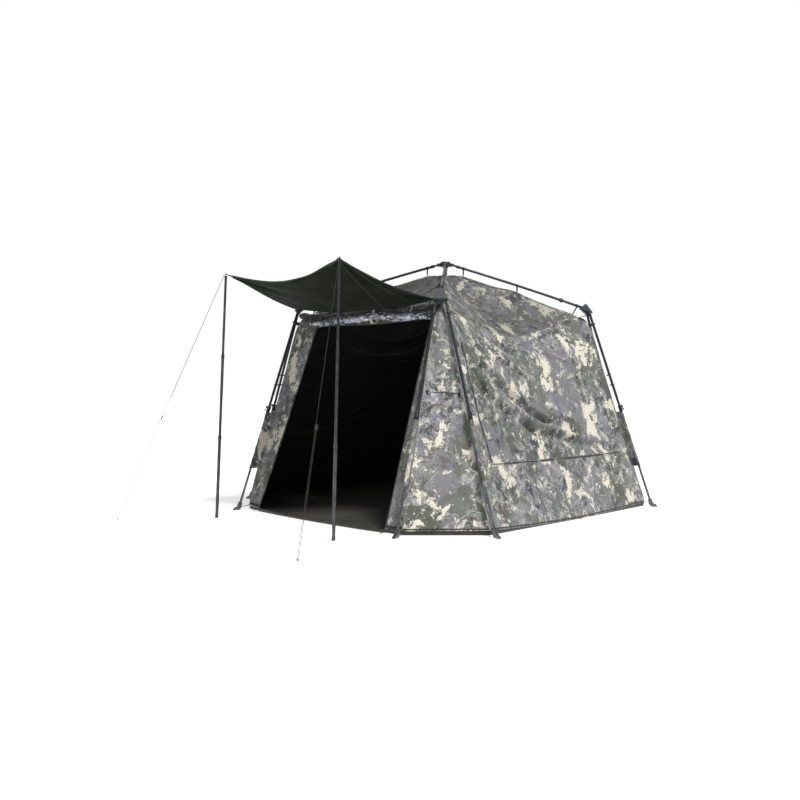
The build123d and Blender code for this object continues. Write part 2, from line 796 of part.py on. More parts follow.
loop_radius = 0.45 * guy_gap
for side, sx in SIDES.items():
    route, strand, across = guy_route(sx)
    with BuildLine() as path:
        FilletPolyline(*route, radius=[loop_radius, loop_radius])
    run = path.wire()
    with BuildPart() as line:
        with BuildSketch(Plane(origin=run @ 0, z_dir=run % 0)):
            Circle(guy_radius)
        sweep(path=run)
    save(line.part, f"guy_line_{side}")
    share = line.part.volume / (math.pi * guy_radius**2 * run.length)
    print(f"guy_line_{side}: {run.length:.0f} mm long, volume share {share:.4f}, "
          f"loop radius {loop_radius:.2f} mm")

    width, thickness, length = tensioner_size
    centre = (route[3] + route[0] + (route[1] - route[0]) * tensioner_share) * 0.5
    holder = Plane(origin=centre, x_dir=across, z_dir=strand)
    with BuildPart(holder) as tensioner:
        Box(width, thickness, length)
        fillet(tensioner.edges().filter_by(Axis((0, 0, 0), strand)), 2)
        with Locations((guy_gap / 2, 0, 0), (-guy_gap / 2, 0, 0)):
            Cylinder(guy_radius + 0.4, length, mode=Mode.SUBTRACT)
    save(tensioner.part, f"guy_tensioner_{side}")

with BuildPart() as guy_pegs:
    for sx in SIDES.values():
        route, strand, across = guy_route(sx)
        away = Vector(strand.X, strand.Y, 0).normalized()
        eye = (route[1] + route[2]) * 0.5 - strand * (guy_gap / 2 + 0.5)
        lean = (away + UP * 1.2).normalized()
        ground = eye - lean * ((eye.Z - peg_radius - 0.5) / lean.Z)
        head = eye + lean * peg_neck
        with BuildLine() as hook:
            FilletPolyline(ground, head, head + (away * 0.9 - UP * 0.45) * peg_hook, radius=4)
        shank = hook.wire()
        with BuildSketch(Plane(origin=shank @ 0, z_dir=shank % 0)):
            Circle(peg_radius)
        sweep(path=shank)
save(guy_pegs.part, "guy_pegs")

# ---------------------------------------------------------------- what the joints need
print(f"arm swing {arm_swing:.3f} degrees over a hub drop of {hub_drop} mm")
print(f"leg slides {leg_travel} mm, pole slides {pole_travel} mm, lock levers {lever_swing} degrees")
for name, leg in LEGS.items():
    print(f"leg {name}: length {leg.length:.1f}, swing {leg.swing:.3f}")
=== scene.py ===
"""Looks of the pop up tent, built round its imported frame. Metres, +Z up, door towards -Y."""
import json
import math

import bpy
import numpy as np
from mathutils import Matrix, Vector


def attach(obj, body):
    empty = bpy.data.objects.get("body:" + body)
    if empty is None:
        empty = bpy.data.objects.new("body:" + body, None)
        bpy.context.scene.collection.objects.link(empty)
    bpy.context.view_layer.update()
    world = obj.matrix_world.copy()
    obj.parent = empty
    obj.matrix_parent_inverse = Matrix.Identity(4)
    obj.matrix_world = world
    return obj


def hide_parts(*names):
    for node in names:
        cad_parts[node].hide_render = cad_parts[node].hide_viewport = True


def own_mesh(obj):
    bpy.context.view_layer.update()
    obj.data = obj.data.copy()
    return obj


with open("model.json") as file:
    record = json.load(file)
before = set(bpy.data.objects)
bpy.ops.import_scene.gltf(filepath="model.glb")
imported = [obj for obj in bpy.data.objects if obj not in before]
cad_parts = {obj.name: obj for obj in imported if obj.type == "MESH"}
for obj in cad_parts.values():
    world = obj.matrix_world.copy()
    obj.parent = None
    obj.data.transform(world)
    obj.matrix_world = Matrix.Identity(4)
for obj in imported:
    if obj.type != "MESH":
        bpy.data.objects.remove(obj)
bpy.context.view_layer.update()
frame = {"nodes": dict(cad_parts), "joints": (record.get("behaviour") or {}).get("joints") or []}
joints = {joint["name"]: joint for joint in frame["joints"]}

CORNERS = {
    "front_left": (-1, -1),
    "front_right": (1, -1),
    "back_left": (-1, 1),
    "back_right": (1, 1),
}
CORNER_ANGLE = math.atan2(0.989, 0.839)
APEX = np.array([0.0, 0.0, 2.004])
EAVE = (1.143, 1.668)                # radius and height of the eave's corners
SHOULDER = (1.281, 1.571)            # radius and height where the cloth is pulled out to the legs
SHEET = 0.0016                       # thickness of the cloth
FLAT = np.array([1, 1, 0])


def placed(name, data):
    """A new object in the scene."""
    made = bpy.data.objects.new(name, data)
    bpy.context.scene.collection.objects.link(made)
    return made


# ------------------------------------------------------------------ camera, light and floor
CAMERA_PLACE = (5.2481, -5.8717, 1.1001)
CAMERA_DIP = 0.0242
CAMERA_TURN = 0.7802
camera_data = bpy.data.cameras.new("camera")
camera_data.lens = 39.98
camera_data.sensor_width = 36
camera_data.clip_end = 100
camera = placed("camera", camera_data)
camera.location = CAMERA_PLACE
camera.rotation_euler = (math.pi / 2 - CAMERA_DIP, 0, CAMERA_TURN)
bpy.context.scene.camera = camera
bpy.context.scene.view_settings.view_transform = "Standard"


def area_light(name, place, target, size, power, colour=(1, 1, 1)):
    data = bpy.data.lights.new(name, "AREA")
    data.shape = "RECTANGLE"
    data.size, data.size_y = size
    data.energy = power
    data.color = colour
    lamp = placed(name, data)
    lamp.location = place
    lamp.rotation_euler = (Vector(target) - Vector(place)).to_track_quat("-Z", "Y").to_euler()


key_data = bpy.data.lights.new("key", "SUN")
key_data.energy = 4.3
key_data.angle = 0.22
key_data.color = (1, 0.99, 0.97)
key = placed("key", key_data)
key.rotation_euler = Vector((-0.54, 0.13, -0.83)).to_track_quat("-Z", "Y").to_euler()
area_light("fill", (1.5, -8.5, 3.0), (0, 0, 0.8), (6, 3.5), 40, (0.97, 0.98, 1))
area_light("back", (-6.0, 5.5, 4.5), (0, 0, 1), (5, 4), 60)
area_light("top", (0, 0, 7.5), (0, 0, 0), (9, 9), 45)

# The camera sees white all round, and the light from it is softer higher up
world = bpy.data.worlds.new("studio")
world.use_nodes = True
sky = world.node_tree
direction = sky.nodes.new("ShaderNodeTexCoord")
height_of = sky.nodes.new("ShaderNodeSeparateXYZ")
fade = sky.nodes.new("ShaderNodeMapRange")
for key_name, value in (("From Min", 0.12), ("From Max", 0.95), ("To Min", 0.32), ("To Max", 0.20)):
    fade.inputs[key_name].default_value = value
sky.links.new(direction.outputs["Generated"], height_of.inputs[0])
sky.links.new(height_of.outputs["Z"], fade.inputs["Value"])
seen = sky.nodes.new("ShaderNodeLightPath")
strength = sky.nodes.new("ShaderNodeMath")
strength.operation = "MAXIMUM"
sky.links.new(fade.outputs[0], strength.inputs[0])
sky.links.new(seen.outputs["Is Camera Ray"], strength.inputs[1])
sky.links.new(strength.outputs[0], sky.nodes["Background"].inputs["Strength"])
sky.nodes["Background"].inputs["Color"].default_value = (1, 1, 1, 1)
bpy.context.scene.world = world


# ------------------------------------------------------------------ materials
THREAD = 0.0012                      # spacing of the threads


class Shader:
    """A material made of nodes. A socket given as a value is linked, anything else is set."""

    def __init__(self, name):
        self.material = bpy.data.materials.new(name)
        self.material.use_nodes = True
        self.tree = self.material.node_tree
        self.surface = self.tree.nodes["Principled BSDF"]

    def put(self, socket, value):
        if isinstance(value, bpy.types.NodeSocket):
            self.tree.links.new(value, socket)
        elif isinstance(value, (tuple, list)) and len(value) == 3 and socket.type == "RGBA":
            socket.default_value = (*value, 1)
        else:
            socket.default_value = value

    def node(self, kind, settings=None, **values):
        made = self.tree.nodes.new("ShaderNode" + kind)
        for key, value in (settings or {}).items():
            setattr(made, key, value)
        for key, value in values.items():
            self.put(made.inputs[key.replace("_", " ")], value)
        return made

    def position(self, attribute=None):
        if attribute:
            return self.node("Attribute", {"attribute_name": attribute}).outputs["Vector"]
        return self.node("TexCoord").outputs["Object"]

    def mapped(self, vector, scale=(1, 1, 1), shift=(0, 0, 0)):
        return self.node("Mapping", Vector=vector, Scale=scale, Location=shift).outputs[0]

    def noise(self, vector, scale, detail=3, roughness=0.5, distortion=0.0, colour=False):
        made = self.node(
            "TexNoise", Vector=vector, Scale=scale, Detail=detail, Roughness=roughness, Distortion=distortion,
        )
        return made.outputs["Color" if colour else "Fac"]

    def math(self, operation, first, second=0.0):
        made = self.node("Math", {"operation": operation})
        self.put(made.inputs[0], first)
        self.put(made.inputs[1], second)
        return made.outputs[0]

    def times(self, first, second):
        return self.math("MULTIPLY", first, second)

    def without(self, value):
        return self.math("SUBTRACT", 1, value)

    def vector_math(self, operation, first, second=None):
        made = self.node("VectorMath", {"operation": operation})
        self.put(made.inputs[0], first)
        if second is not None:
            self.put(made.inputs[1], second)
        return made

    def step(self, value, low, high):
        """0 below low, 1 above high, smooth between."""
        made = self.node("MapRange", {"interpolation_type": "SMOOTHSTEP"}, Value=value)
        made.inputs["From Min"].default_value = low
        made.inputs["From Max"].default_value = high
        return made.outputs[0]

    def mix(self, factor, first, second, blend="MIX"):
        made = self.node("Mix", {"data_type": "RGBA", "blend_type": blend})
        self.put(made.inputs[0], factor)
        self.put(made.inputs[6], first)
        self.put(made.inputs[7], second)
        return made.outputs[2]

    def spots(self, vector, shift, scale, detail, roughness, low, high, distortion=0.0):
        """Patches where a noise, taken elsewhere by shift, is above low to high."""
        field = self.noise(self.mapped(vector, shift=shift), scale, detail, roughness, distortion)
        return self.step(field, low, high)

    def printed(self, below, mask, amount, colour):
        return self.mix(self.times(mask, amount), below, colour)

    def shifted(self, vector, amount_vector, amount):
        """vector, moved about by a colour between 0 and 1."""
        centred = self.vector_math("SUBTRACT", amount_vector, (0.5, 0.5, 0.5))
        scaled = self.vector_math("SCALE", centred.outputs[0])
        scaled.inputs["Scale"].default_value = amount
        return self.vector_math("ADD", vector, scaled.outputs[0]).outputs[0]

    def bump(self, height, distance, strength):
        return self.node("Bump", Height=height, Distance=distance, Strength=strength).outputs[0]

    def weave(self, vector, size):
        """Height of crossed threads, size metres apart."""
        waves = []
        for direction in ("X", "Y", "Z"):
            wave = self.node("TexWave", {"bands_direction": direction}, Vector=vector, Scale=0.5 / size)
            waves.append(wave.outputs["Fac"])
        return self.math("ADD", self.times(waves[0], waves[2]), waves[1])

    def finish(self, **values):
        for key, value in values.items():
            self.put(self.surface.inputs[key.replace("_", " ")], value)
        return self.material


def camouflage(name, shade=1.0):
    """Printed cloth: grey ground mottled light and dark, with sage, navy, brown and cream tears. The whole
    print is scaled by shade: the plain cloth and its seam strips take their own tone from it, the roof, front
    slope and door copies painted shade, and the corner copy painted light.
    """
    sh = Shader(name)
    at = sh.position("cloth")
    rough_edge = sh.noise(at, 17, 6, 0.70, colour=True)
    ragged = sh.shifted(at, rough_edge, 0.10)
    loose = sh.shifted(at, sh.noise(at, 3.4, 3, 0.55, colour=True), 0.22)
    torn = sh.shifted(loose, rough_edge, 0.05)
    calm = sh.spots(torn, (8, 1, 3), 2.6, 3, 0.5, 0.47, 0.53)
    busy = sh.without(sh.times(calm, 0.75))

    tone = sh.step(sh.noise(torn, 1.9, 3), 0.46, 0.54)
    ground = sh.mix(tone, (0.140, 0.154, 0.130), (0.190, 0.190, 0.225))
    mottled = sh.step(sh.noise(ragged, 9, 8, 0.74), 0.495, 0.515)
    ground = sh.printed(ground, mottled, 0.60, (0.34, 0.34, 0.36))
    light = sh.spots(ragged, (4, 4, 8), 20, 8, 0.80, 0.545, 0.560)
    ground = sh.printed(ground, sh.times(light, 0.85), busy, (0.66, 0.65, 0.63))
    dark = sh.spots(ragged, (3, 1, 7), 14, 8, 0.80, 0.515, 0.530)
    result = sh.printed(ground, sh.times(dark, 0.92), busy, (0.040, 0.042, 0.044))

    # Broad leaf fields in sage and grey, each darker inside, then small navy and brown ones
    for turn, scale, limit, colour in (
        ((5, 2, 9), 3.0, 0.596, (0.108, 0.132, 0.100)),
        ((11, 4, 3), 3.4, 0.594, (0.240, 0.240, 0.270)),
        ((3, 12, 6), 4.2, 0.600, (0.165, 0.182, 0.155)),
    ):
        field = sh.noise(sh.mapped(torn, (1, 1, 0.55), turn), scale, 3, 0.5, 0.6)
        inner = sh.mix(sh.times(sh.noise(ragged, 15, 5, 0.6), 0.6), colour, tuple(c * 0.45 for c in colour))
        result = sh.printed(result, sh.step(field, limit, limit + 0.010), 0.94, inner)
    navy = sh.spots(ragged, (2, 8, 5), 4.6, 4, 0.6, 0.630, 0.645, 0.3)
    result = sh.mix(navy, result, (0.050, 0.056, 0.090))
    brown = sh.spots(ragged, (7, 3, 1), 6, 4, 0.6, 0.630, 0.650)
    result = sh.printed(result, brown, 0.8, (0.14, 0.112, 0.095))

    # Thin dark branches: the line where two halves of a noise meet, broken up by another
    for turn, scale in ((13, 5.5), (21, 9.0)):
        branch = sh.noise(sh.mapped(torn, shift=(turn, 2, turn)), scale, 5, 0.62, 0.8)
        from_line = sh.math("ABSOLUTE", sh.math("SUBTRACT", branch, 0.5))
        line = sh.without(sh.step(from_line, 0.0035, 0.0075))
        broken = sh.spots(at, (turn, 9, 1), 7, 3, 0.6, 0.50, 0.54)
        result = sh.printed(result, sh.times(line, broken), 0.85, (0.040, 0.040, 0.036))

    # Cream tears with crumbled edges, and smaller ones between them
    blotch = sh.noise(sh.mapped(torn, (1, 1, 0.8), (1, 6, 2)), 5.0, 4, 0.58, 0.4)
    crumbs = sh.times(sh.math("SUBTRACT", sh.noise(sh.mapped(at, shift=(6, 6, 2)), 32, 6, 0.76), 0.5), 0.42)
    speckled = sh.math("ADD", blotch, crumbs)
    result = sh.mix(sh.step(speckled, 0.598, 0.604), result, (0.78, 0.73, 0.62))
    small = sh.spots(ragged, (9, 9, 4), 12, 8, 0.78, 0.575, 0.585)
    result = sh.printed(result, small, 0.92, (0.74, 0.70, 0.60))

    # Pale twigs: a short straight line through the middle of a Voronoi cell, each at its own lean
    for turn, scale, thin, long in ((0.0, 4.2, 0.0013, 0.085), (5.0, 6.5, 0.0010, 0.055)):
        place = sh.mapped(sh.shifted(at, rough_edge, 0.006), shift=(turn, turn, turn))
        cell = sh.node("TexVoronoi", Vector=place, Scale=scale)
        gap = sh.vector_math("SUBTRACT", place, cell.outputs["Position"]).outputs[0]
        lean = sh.vector_math("SUBTRACT", cell.outputs["Color"], (0.5, 0.5, 0.5)).outputs[0]
        lean_unit = sh.vector_math("NORMALIZE", lean).outputs[0]
        off = sh.vector_math("DOT_PRODUCT", gap, lean_unit)
        span = sh.vector_math("LENGTH", gap)
        beside = sh.math("ABSOLUTE", off.outputs["Value"])
        twig = sh.without(sh.step(beside, thin, thin * 1.8))
        within = sh.without(sh.step(span.outputs["Value"], long * 0.9, long))
        result = sh.printed(result, sh.times(twig, within), 0.75, (0.58, 0.56, 0.50))

    # The print times shade: painted shade on the roof, front slope and door copies, painted light on the corner
    # copy.
    shaded = sh.mix(1.0, result, (shade, shade, shade), "MULTIPLY")
    creases = sh.noise(sh.shifted(at, rough_edge, 0.03), 9, 4, 0.5)
    height = sh.math("ADD", creases, sh.times(sh.weave(at, THREAD), 0.02))
    return sh.finish(
        Base_Color=shaded, Roughness=0.62, Normal=sh.bump(height, 0.012, 0.6), Specular_IOR_Level=0.32,
        Sheen_Weight=0.12, Sheen_Roughness=0.5,
    )


def plain_cloth(name, colour, worn, roughness, attribute="cloth", shine=0.3):
    sh = Shader(name)
    at = sh.position(attribute)
    cloudy = sh.noise(at, 5, 5, 0.6)
    fine = sh.noise(at, 130, 3, 0.6)
    tint = sh.mix(sh.step(cloudy, 0.35, 0.7), colour, worn)
    tint = sh.mix(sh.times(fine, 0.35), tint, tuple(c * 0.6 for c in colour))
    height = sh.math("ADD", sh.noise(at, 14, 4, 0.55), sh.times(sh.weave(at, THREAD), 0.05))
    return sh.finish(
        Base_Color=tint, Roughness=roughness, Normal=sh.bump(height, 0.004, 0.5),
        Specular_IOR_Level=shine, Sheen_Weight=shine / 4,
    )


def foil_cloth(name):
    """Crinkled silver-coated cloth. Its colour holds painted reflection and shade: dark blue-grey patches among
    lighter blue-grey ones, and white spots of painted glint on the crinkles.
    """
    sh = Shader(name)
    at = sh.position("cloth")
    crinkle = sh.noise(sh.mapped(at, (0.7, 1.6, 1.6)), 30, 7, 0.75, 1.0)
    patches = sh.noise(sh.mapped(at, (0.5, 1.2, 1.2)), 15, 5, 0.68, 0.8)
    # Painted shade and reflection in the colour: dark blue-grey patches, then white painted glints where the
    # crinkles are high.
    tint = sh.mix(sh.step(patches, 0.44, 0.54), (0.030, 0.037, 0.055), (0.42, 0.46, 0.56))
    tint = sh.mix(sh.step(crinkle, 0.53, 0.60), tint, (1.0, 1.0, 1.0))
    return sh.finish(Base_Color=tint, Metallic=0.15, Roughness=0.38, Normal=sh.bump(crinkle, 0.014, 1.0))


def coated_metal(name, colour, worn, roughness, metallic, stretch=(1, 1, 0.06)):
    sh = Shader(name)
    at = sh.position()
    streaks = sh.noise(sh.mapped(at, stretch), 240, 3, 0.6)
    cloudy = sh.noise(at, 9, 4, 0.55)
    tint = sh.mix(sh.step(cloudy, 0.42, 0.75), colour, worn)
    gloss = sh.math("ADD", roughness - 0.08, sh.times(streaks, 0.16))
    return sh.finish(Base_Color=tint, Metallic=metallic, Roughness=gloss, Normal=sh.bump(streaks, 0.0004, 0.35))


def moulded_plastic(name, colour, worn, roughness):
    sh = Shader(name)
    at = sh.position()
    grain = sh.noise(at, 900, 2, 0.5)
    scuffs = sh.step(sh.noise(at, 60, 5, 0.7), 0.62, 0.72)
    tint = sh.mix(sh.times(scuffs, 0.6), colour, worn)
    gloss = sh.math("ADD", roughness, sh.times(scuffs, 0.15))
    return sh.finish(Base_Color=tint, Roughness=gloss, Normal=sh.bump(grain, 0.0006, 0.5))


def webbing_strap(name, colour, worn):
    sh = Shader(name)
    at = sh.position()
    ribs = sh.weave(at, 0.0016)
    tint = sh.mix(sh.noise(at, 40, 3), colour, worn)
    return sh.finish(Base_Color=tint, Roughness=0.8, Normal=sh.bump(ribs, 0.0008, 0.8))


def floor_paint():
    sh = Shader("studio_floor")
    tone = sh.mix(sh.noise(sh.position(), 0.4, 2), (0.60, 0.60, 0.60), (0.62, 0.62, 0.62))
    return sh.finish(Base_Color=tone, Roughness=0.9, Emission_Color=(1, 1, 1), Emission_Strength=0.56)


CAMO = camouflage("camouflage_cloth", 0.66)
# Corner copy: brighter than the plain cloth, painted light for the light falling on the corner panels.
CAMO_CORNER_LIT = camouflage("camouflage_corner_painted_light", 0.74)
# Roof copy: darker than the plain cloth, painted shade that keeps the roof below the walls' brightness.
CAMO_ROOF_SHADED = camouflage("camouflage_roof_painted_shade", 0.385)
# Door copy: much darker, painted shade for the header and rolled doors under the awning.
CAMO_SHADED = camouflage("camouflage_door_painted_shade", 0.095)
# Front slope copy: the darkest, painted shade for the front slope facing away from the light.
CAMO_FRONT_SHADED = camouflage("camouflage_front_slope_cloth", 0.18)
SEAM = camouflage("camouflage_seam", 0.36)
LINING = plain_cloth("black_lining", (0.006, 0.006, 0.006), (0.010, 0.010, 0.0105), 0.75)
OLIVE = plain_cloth("olive_cloth", (0.0040, 0.0062, 0.0022), (0.0110, 0.0142, 0.0060), 0.85, shine=0.08)
OLIVE_SEAM = plain_cloth("olive_seam", (0.008, 0.009, 0.006), (0.014, 0.016, 0.010), 0.75, attribute=None)
GROUND = plain_cloth("ground_cloth", (0.022, 0.021, 0.014), (0.042, 0.041, 0.031), 0.55)
FOIL = foil_cloth("silver_cloth")
BINDING = plain_cloth("hem_binding", (0.020, 0.022, 0.015), (0.045, 0.048, 0.035), 0.8, attribute=None)
PIPING = plain_cloth("pale_piping", (0.18, 0.18, 0.17), (0.30, 0.30, 0.28), 0.7, attribute=None)
WEBBING = webbing_strap("black_webbing", (0.010, 0.010, 0.011), (0.03, 0.03, 0.031))
GREY_WEBBING = webbing_strap("grey_webbing", (0.09, 0.095, 0.085), (0.16, 0.165, 0.155))
PALE_WEBBING = webbing_strap("pale_webbing", (0.40, 0.39, 0.36), (0.58, 0.57, 0.53))
CORD = webbing_strap("braided_cord", (0.014, 0.014, 0.012), (0.035, 0.035, 0.030))
DARK_TUBE = coated_metal("dark_tube", (0.028, 0.030, 0.036), (0.055, 0.058, 0.068), 0.34, 0.6)
GREY_TUBE = coated_metal("grey_tube", (0.11, 0.115, 0.13), (0.18, 0.185, 0.205), 0.34, 0.8)
POLE_TUBE = coated_metal("pole_tube", (0.060, 0.062, 0.072), (0.11, 0.113, 0.128), 0.28, 0.85)
STEEL = coated_metal("zinc_steel", (0.48, 0.48, 0.49), (0.60, 0.60, 0.61), 0.32, 1.0, (1, 1, 1))
PLASTIC = moulded_plastic("moulded_nylon", (0.016, 0.018, 0.030), (0.05, 0.052, 0.065), 0.42)

NODE_MATERIALS = {
    ("upper_leg", "roof_arm"): DARK_TUBE, ("lower_leg",): GREY_TUBE, ("awning_pole",): POLE_TUBE,
    ("guy_pegs", "hub_pins", "hub_ring"): STEEL,
}
for name, node in frame["nodes"].items():
    found = [material for starts, material in NODE_MATERIALS.items() if name.startswith(starts)]
    node.data.materials.clear()
    node.data.materials.append(found[0] if found else PLASTIC)

FLOOR_REACH = 40
floor_mesh = bpy.data.meshes.new("floor")
corners = [(x * FLOOR_REACH, y * FLOOR_REACH, 0) for x, y in ((-1, -1), (1, -1), (1, 1), (-1, 1))]
floor_mesh.from_pydata(corners, [], [(0, 1, 2, 3)])
floor_mesh.materials.append(floor_paint())
floor = placed("floor", floor_mesh)
floor.location.z = -0.001


# ------------------------------------------------------------------ places on the frame
def outward(sx, sy):
    """Direction from the hub's axis along a corner's arm, level."""
    return np.array([sx * math.cos(CORNER_ANGLE), sy * math.sin(CORNER_ANGLE), 0])


def towards_end(sx, sy):
    """Level direction square to a corner's arm, towards the tent's front or back."""
    return np.array([-sx * math.sin(CORNER_ANGLE), sy * math.cos(CORNER_ANGLE), 0])


def ridge(sx, sy, radius, height):
    """Point under a corner's arm."""
    return outward(sx, sy) * radius + np.array([0, 0, height])


def shoulder(sx, sy, kind):
    """Point where the cloth is pulled out to the end or side leg."""
    way = 1 if kind == "end" else -1
    return ridge(sx, sy, *SHOULDER) + towards_end(sx, sy) * way * 0.05


def hem_corner(sx, sy, kind):
    """Corner of the hem beside the end or side leg."""
    if kind == "end":
        x, y, z = 0.906, 1.463, 0.032
    else:
        x, y, z = (1.345, 1.030, 0.036) if sy < 0 else (1.372, 1.048, 0.036)
    return np.array([sx * x, sy * y, z])


class Leg:
    """The line of one leg, from its pin down to its ankle, as the frame has it."""

    def __init__(self, corner, kind):
        self.name, self.kind = f"{corner}_{kind}", kind
        self.corner = CORNERS[corner]
        self.upper, self.lower = f"upper_{self.name}", f"lower_{self.name}"
        self.pin = np.array(joints[f"leg_fold_{self.name}"]["pos_m"])
        self.down = -np.array(joints[f"leg_slide_{self.name}"]["axis"])
        self.length = (self.pin[2] - 0.040) / -self.down[2]
        self.ankle = self.pin + self.down * self.length

    def at(self, distance):
        return self.pin + self.down * distance


LEGS = {f"{corner}_{kind}": Leg(corner, kind) for corner in CORNERS for kind in ("end", "side")}


# ------------------------------------------------------------------ cloth by rows of points
FOLD_SAMPLES = 160                   # points along a fold that the cloth is measured from


def unit(vector):
    return vector / np.linalg.norm(vector)


def smooth_line(points, count):
    """count points along a smooth curve through the given ones, evenly spread over them."""
    points = np.array(points, float)
    if len(points) == 2:
        share = np.linspace(0, 1, count)[:, None]
        return points[0] * (1 - share) + points[1] * share
    padded = np.concatenate([[2 * points[0] - points[1]], points, [2 * points[-1] - points[-2]]])
    place = np.linspace(0, len(points) - 1, count)
    index = np.minimum(place.astype(int), len(points) - 2)
    t = (place - index)[:, None]
    a, b, c, d = (padded[index + k] for k in range(4))
    return 0.5 * (2 * b + (c - a) * t + (2 * a - 5 * b + 4 * c - d) * t**2
                  + (3 * b - a - 3 * c + d) * t**3)


def woven_grid(rows, across, down):
    """Points of a smooth surface through rows of points, all rows being as long."""
    lines = np.array([smooth_line(row, across) for row in rows])
    return np.stack([smooth_line(lines[:, k], down) for k in range(across)], axis=1)


def surface_normals(grid):
    """Unit normals of a grid of points."""
    along = np.gradient(grid, axis=1)
    below = np.gradient(grid, axis=0)
    normal = np.cross(along, below)
    size = np.linalg.norm(normal, axis=2, keepdims=True)
    flat = size[..., 0] < 1e-9
    normal = normal / np.maximum(size, 1e-9)
    if flat.any():
        good = normal[~flat].mean(0)
        normal[flat] = good / np.linalg.norm(good)
    return normal


def ripple(points, wavelength, seed, count=7, stretch=(1, 1, 1)):
    """A smooth uneven field between about -1 and 1."""
    random = np.random.default_rng(seed)
    directions = random.normal(size=(count, 3)) * np.array(stretch)
    directions /= np.linalg.norm(directions, axis=1, keepdims=True)
    sizes = 2 * math.pi / (wavelength * random.uniform(0.7, 1.5, count))
    phases = random.uniform(0, 2 * math.pi, count)
    waves = np.sin(np.einsum("...k,nk->...n", points, directions * sizes[:, None]) + phases)
    return waves.sum(-1) / math.sqrt(count) / 1.4


def skin(name, points, faces, material, print_places, smooth=None):
    """An object from points and faces, with each point's place on its print for the material."""
    mesh = bpy.data.meshes.new(name)
    mesh.from_pydata(points.reshape(-1, 3).tolist(), [], faces)
    mesh.materials.append(material)
    mesh.polygons.foreach_set("use_smooth", np.ones(len(faces), bool) if smooth is None else smooth)
    layer = mesh.attributes.new("cloth", "FLOAT_VECTOR", "POINT")
    layer.data.foreach_set("vector", print_places.astype(np.float32).ravel())
    return placed(name, mesh)


def skin_over_rings(name, rings, material, flat_ends=False):
    """A closed skin over rings with as many points each."""
    count, around = rings.shape[:2]
    faces = []
    for start in range(0, (count - 1) * around, around):
        for k in range(around):
            a, b = start + k, start + (k + 1) % around
            faces.append((a, b, b + around, a + around))
    faces.append(tuple(range(around))[::-1])
    faces.append(tuple(range((count - 1) * around, count * around)))
    smooth = np.ones(len(faces), bool)
    smooth[-2:] = not flat_ends
    return skin(name, rings, faces, material, rings, smooth)


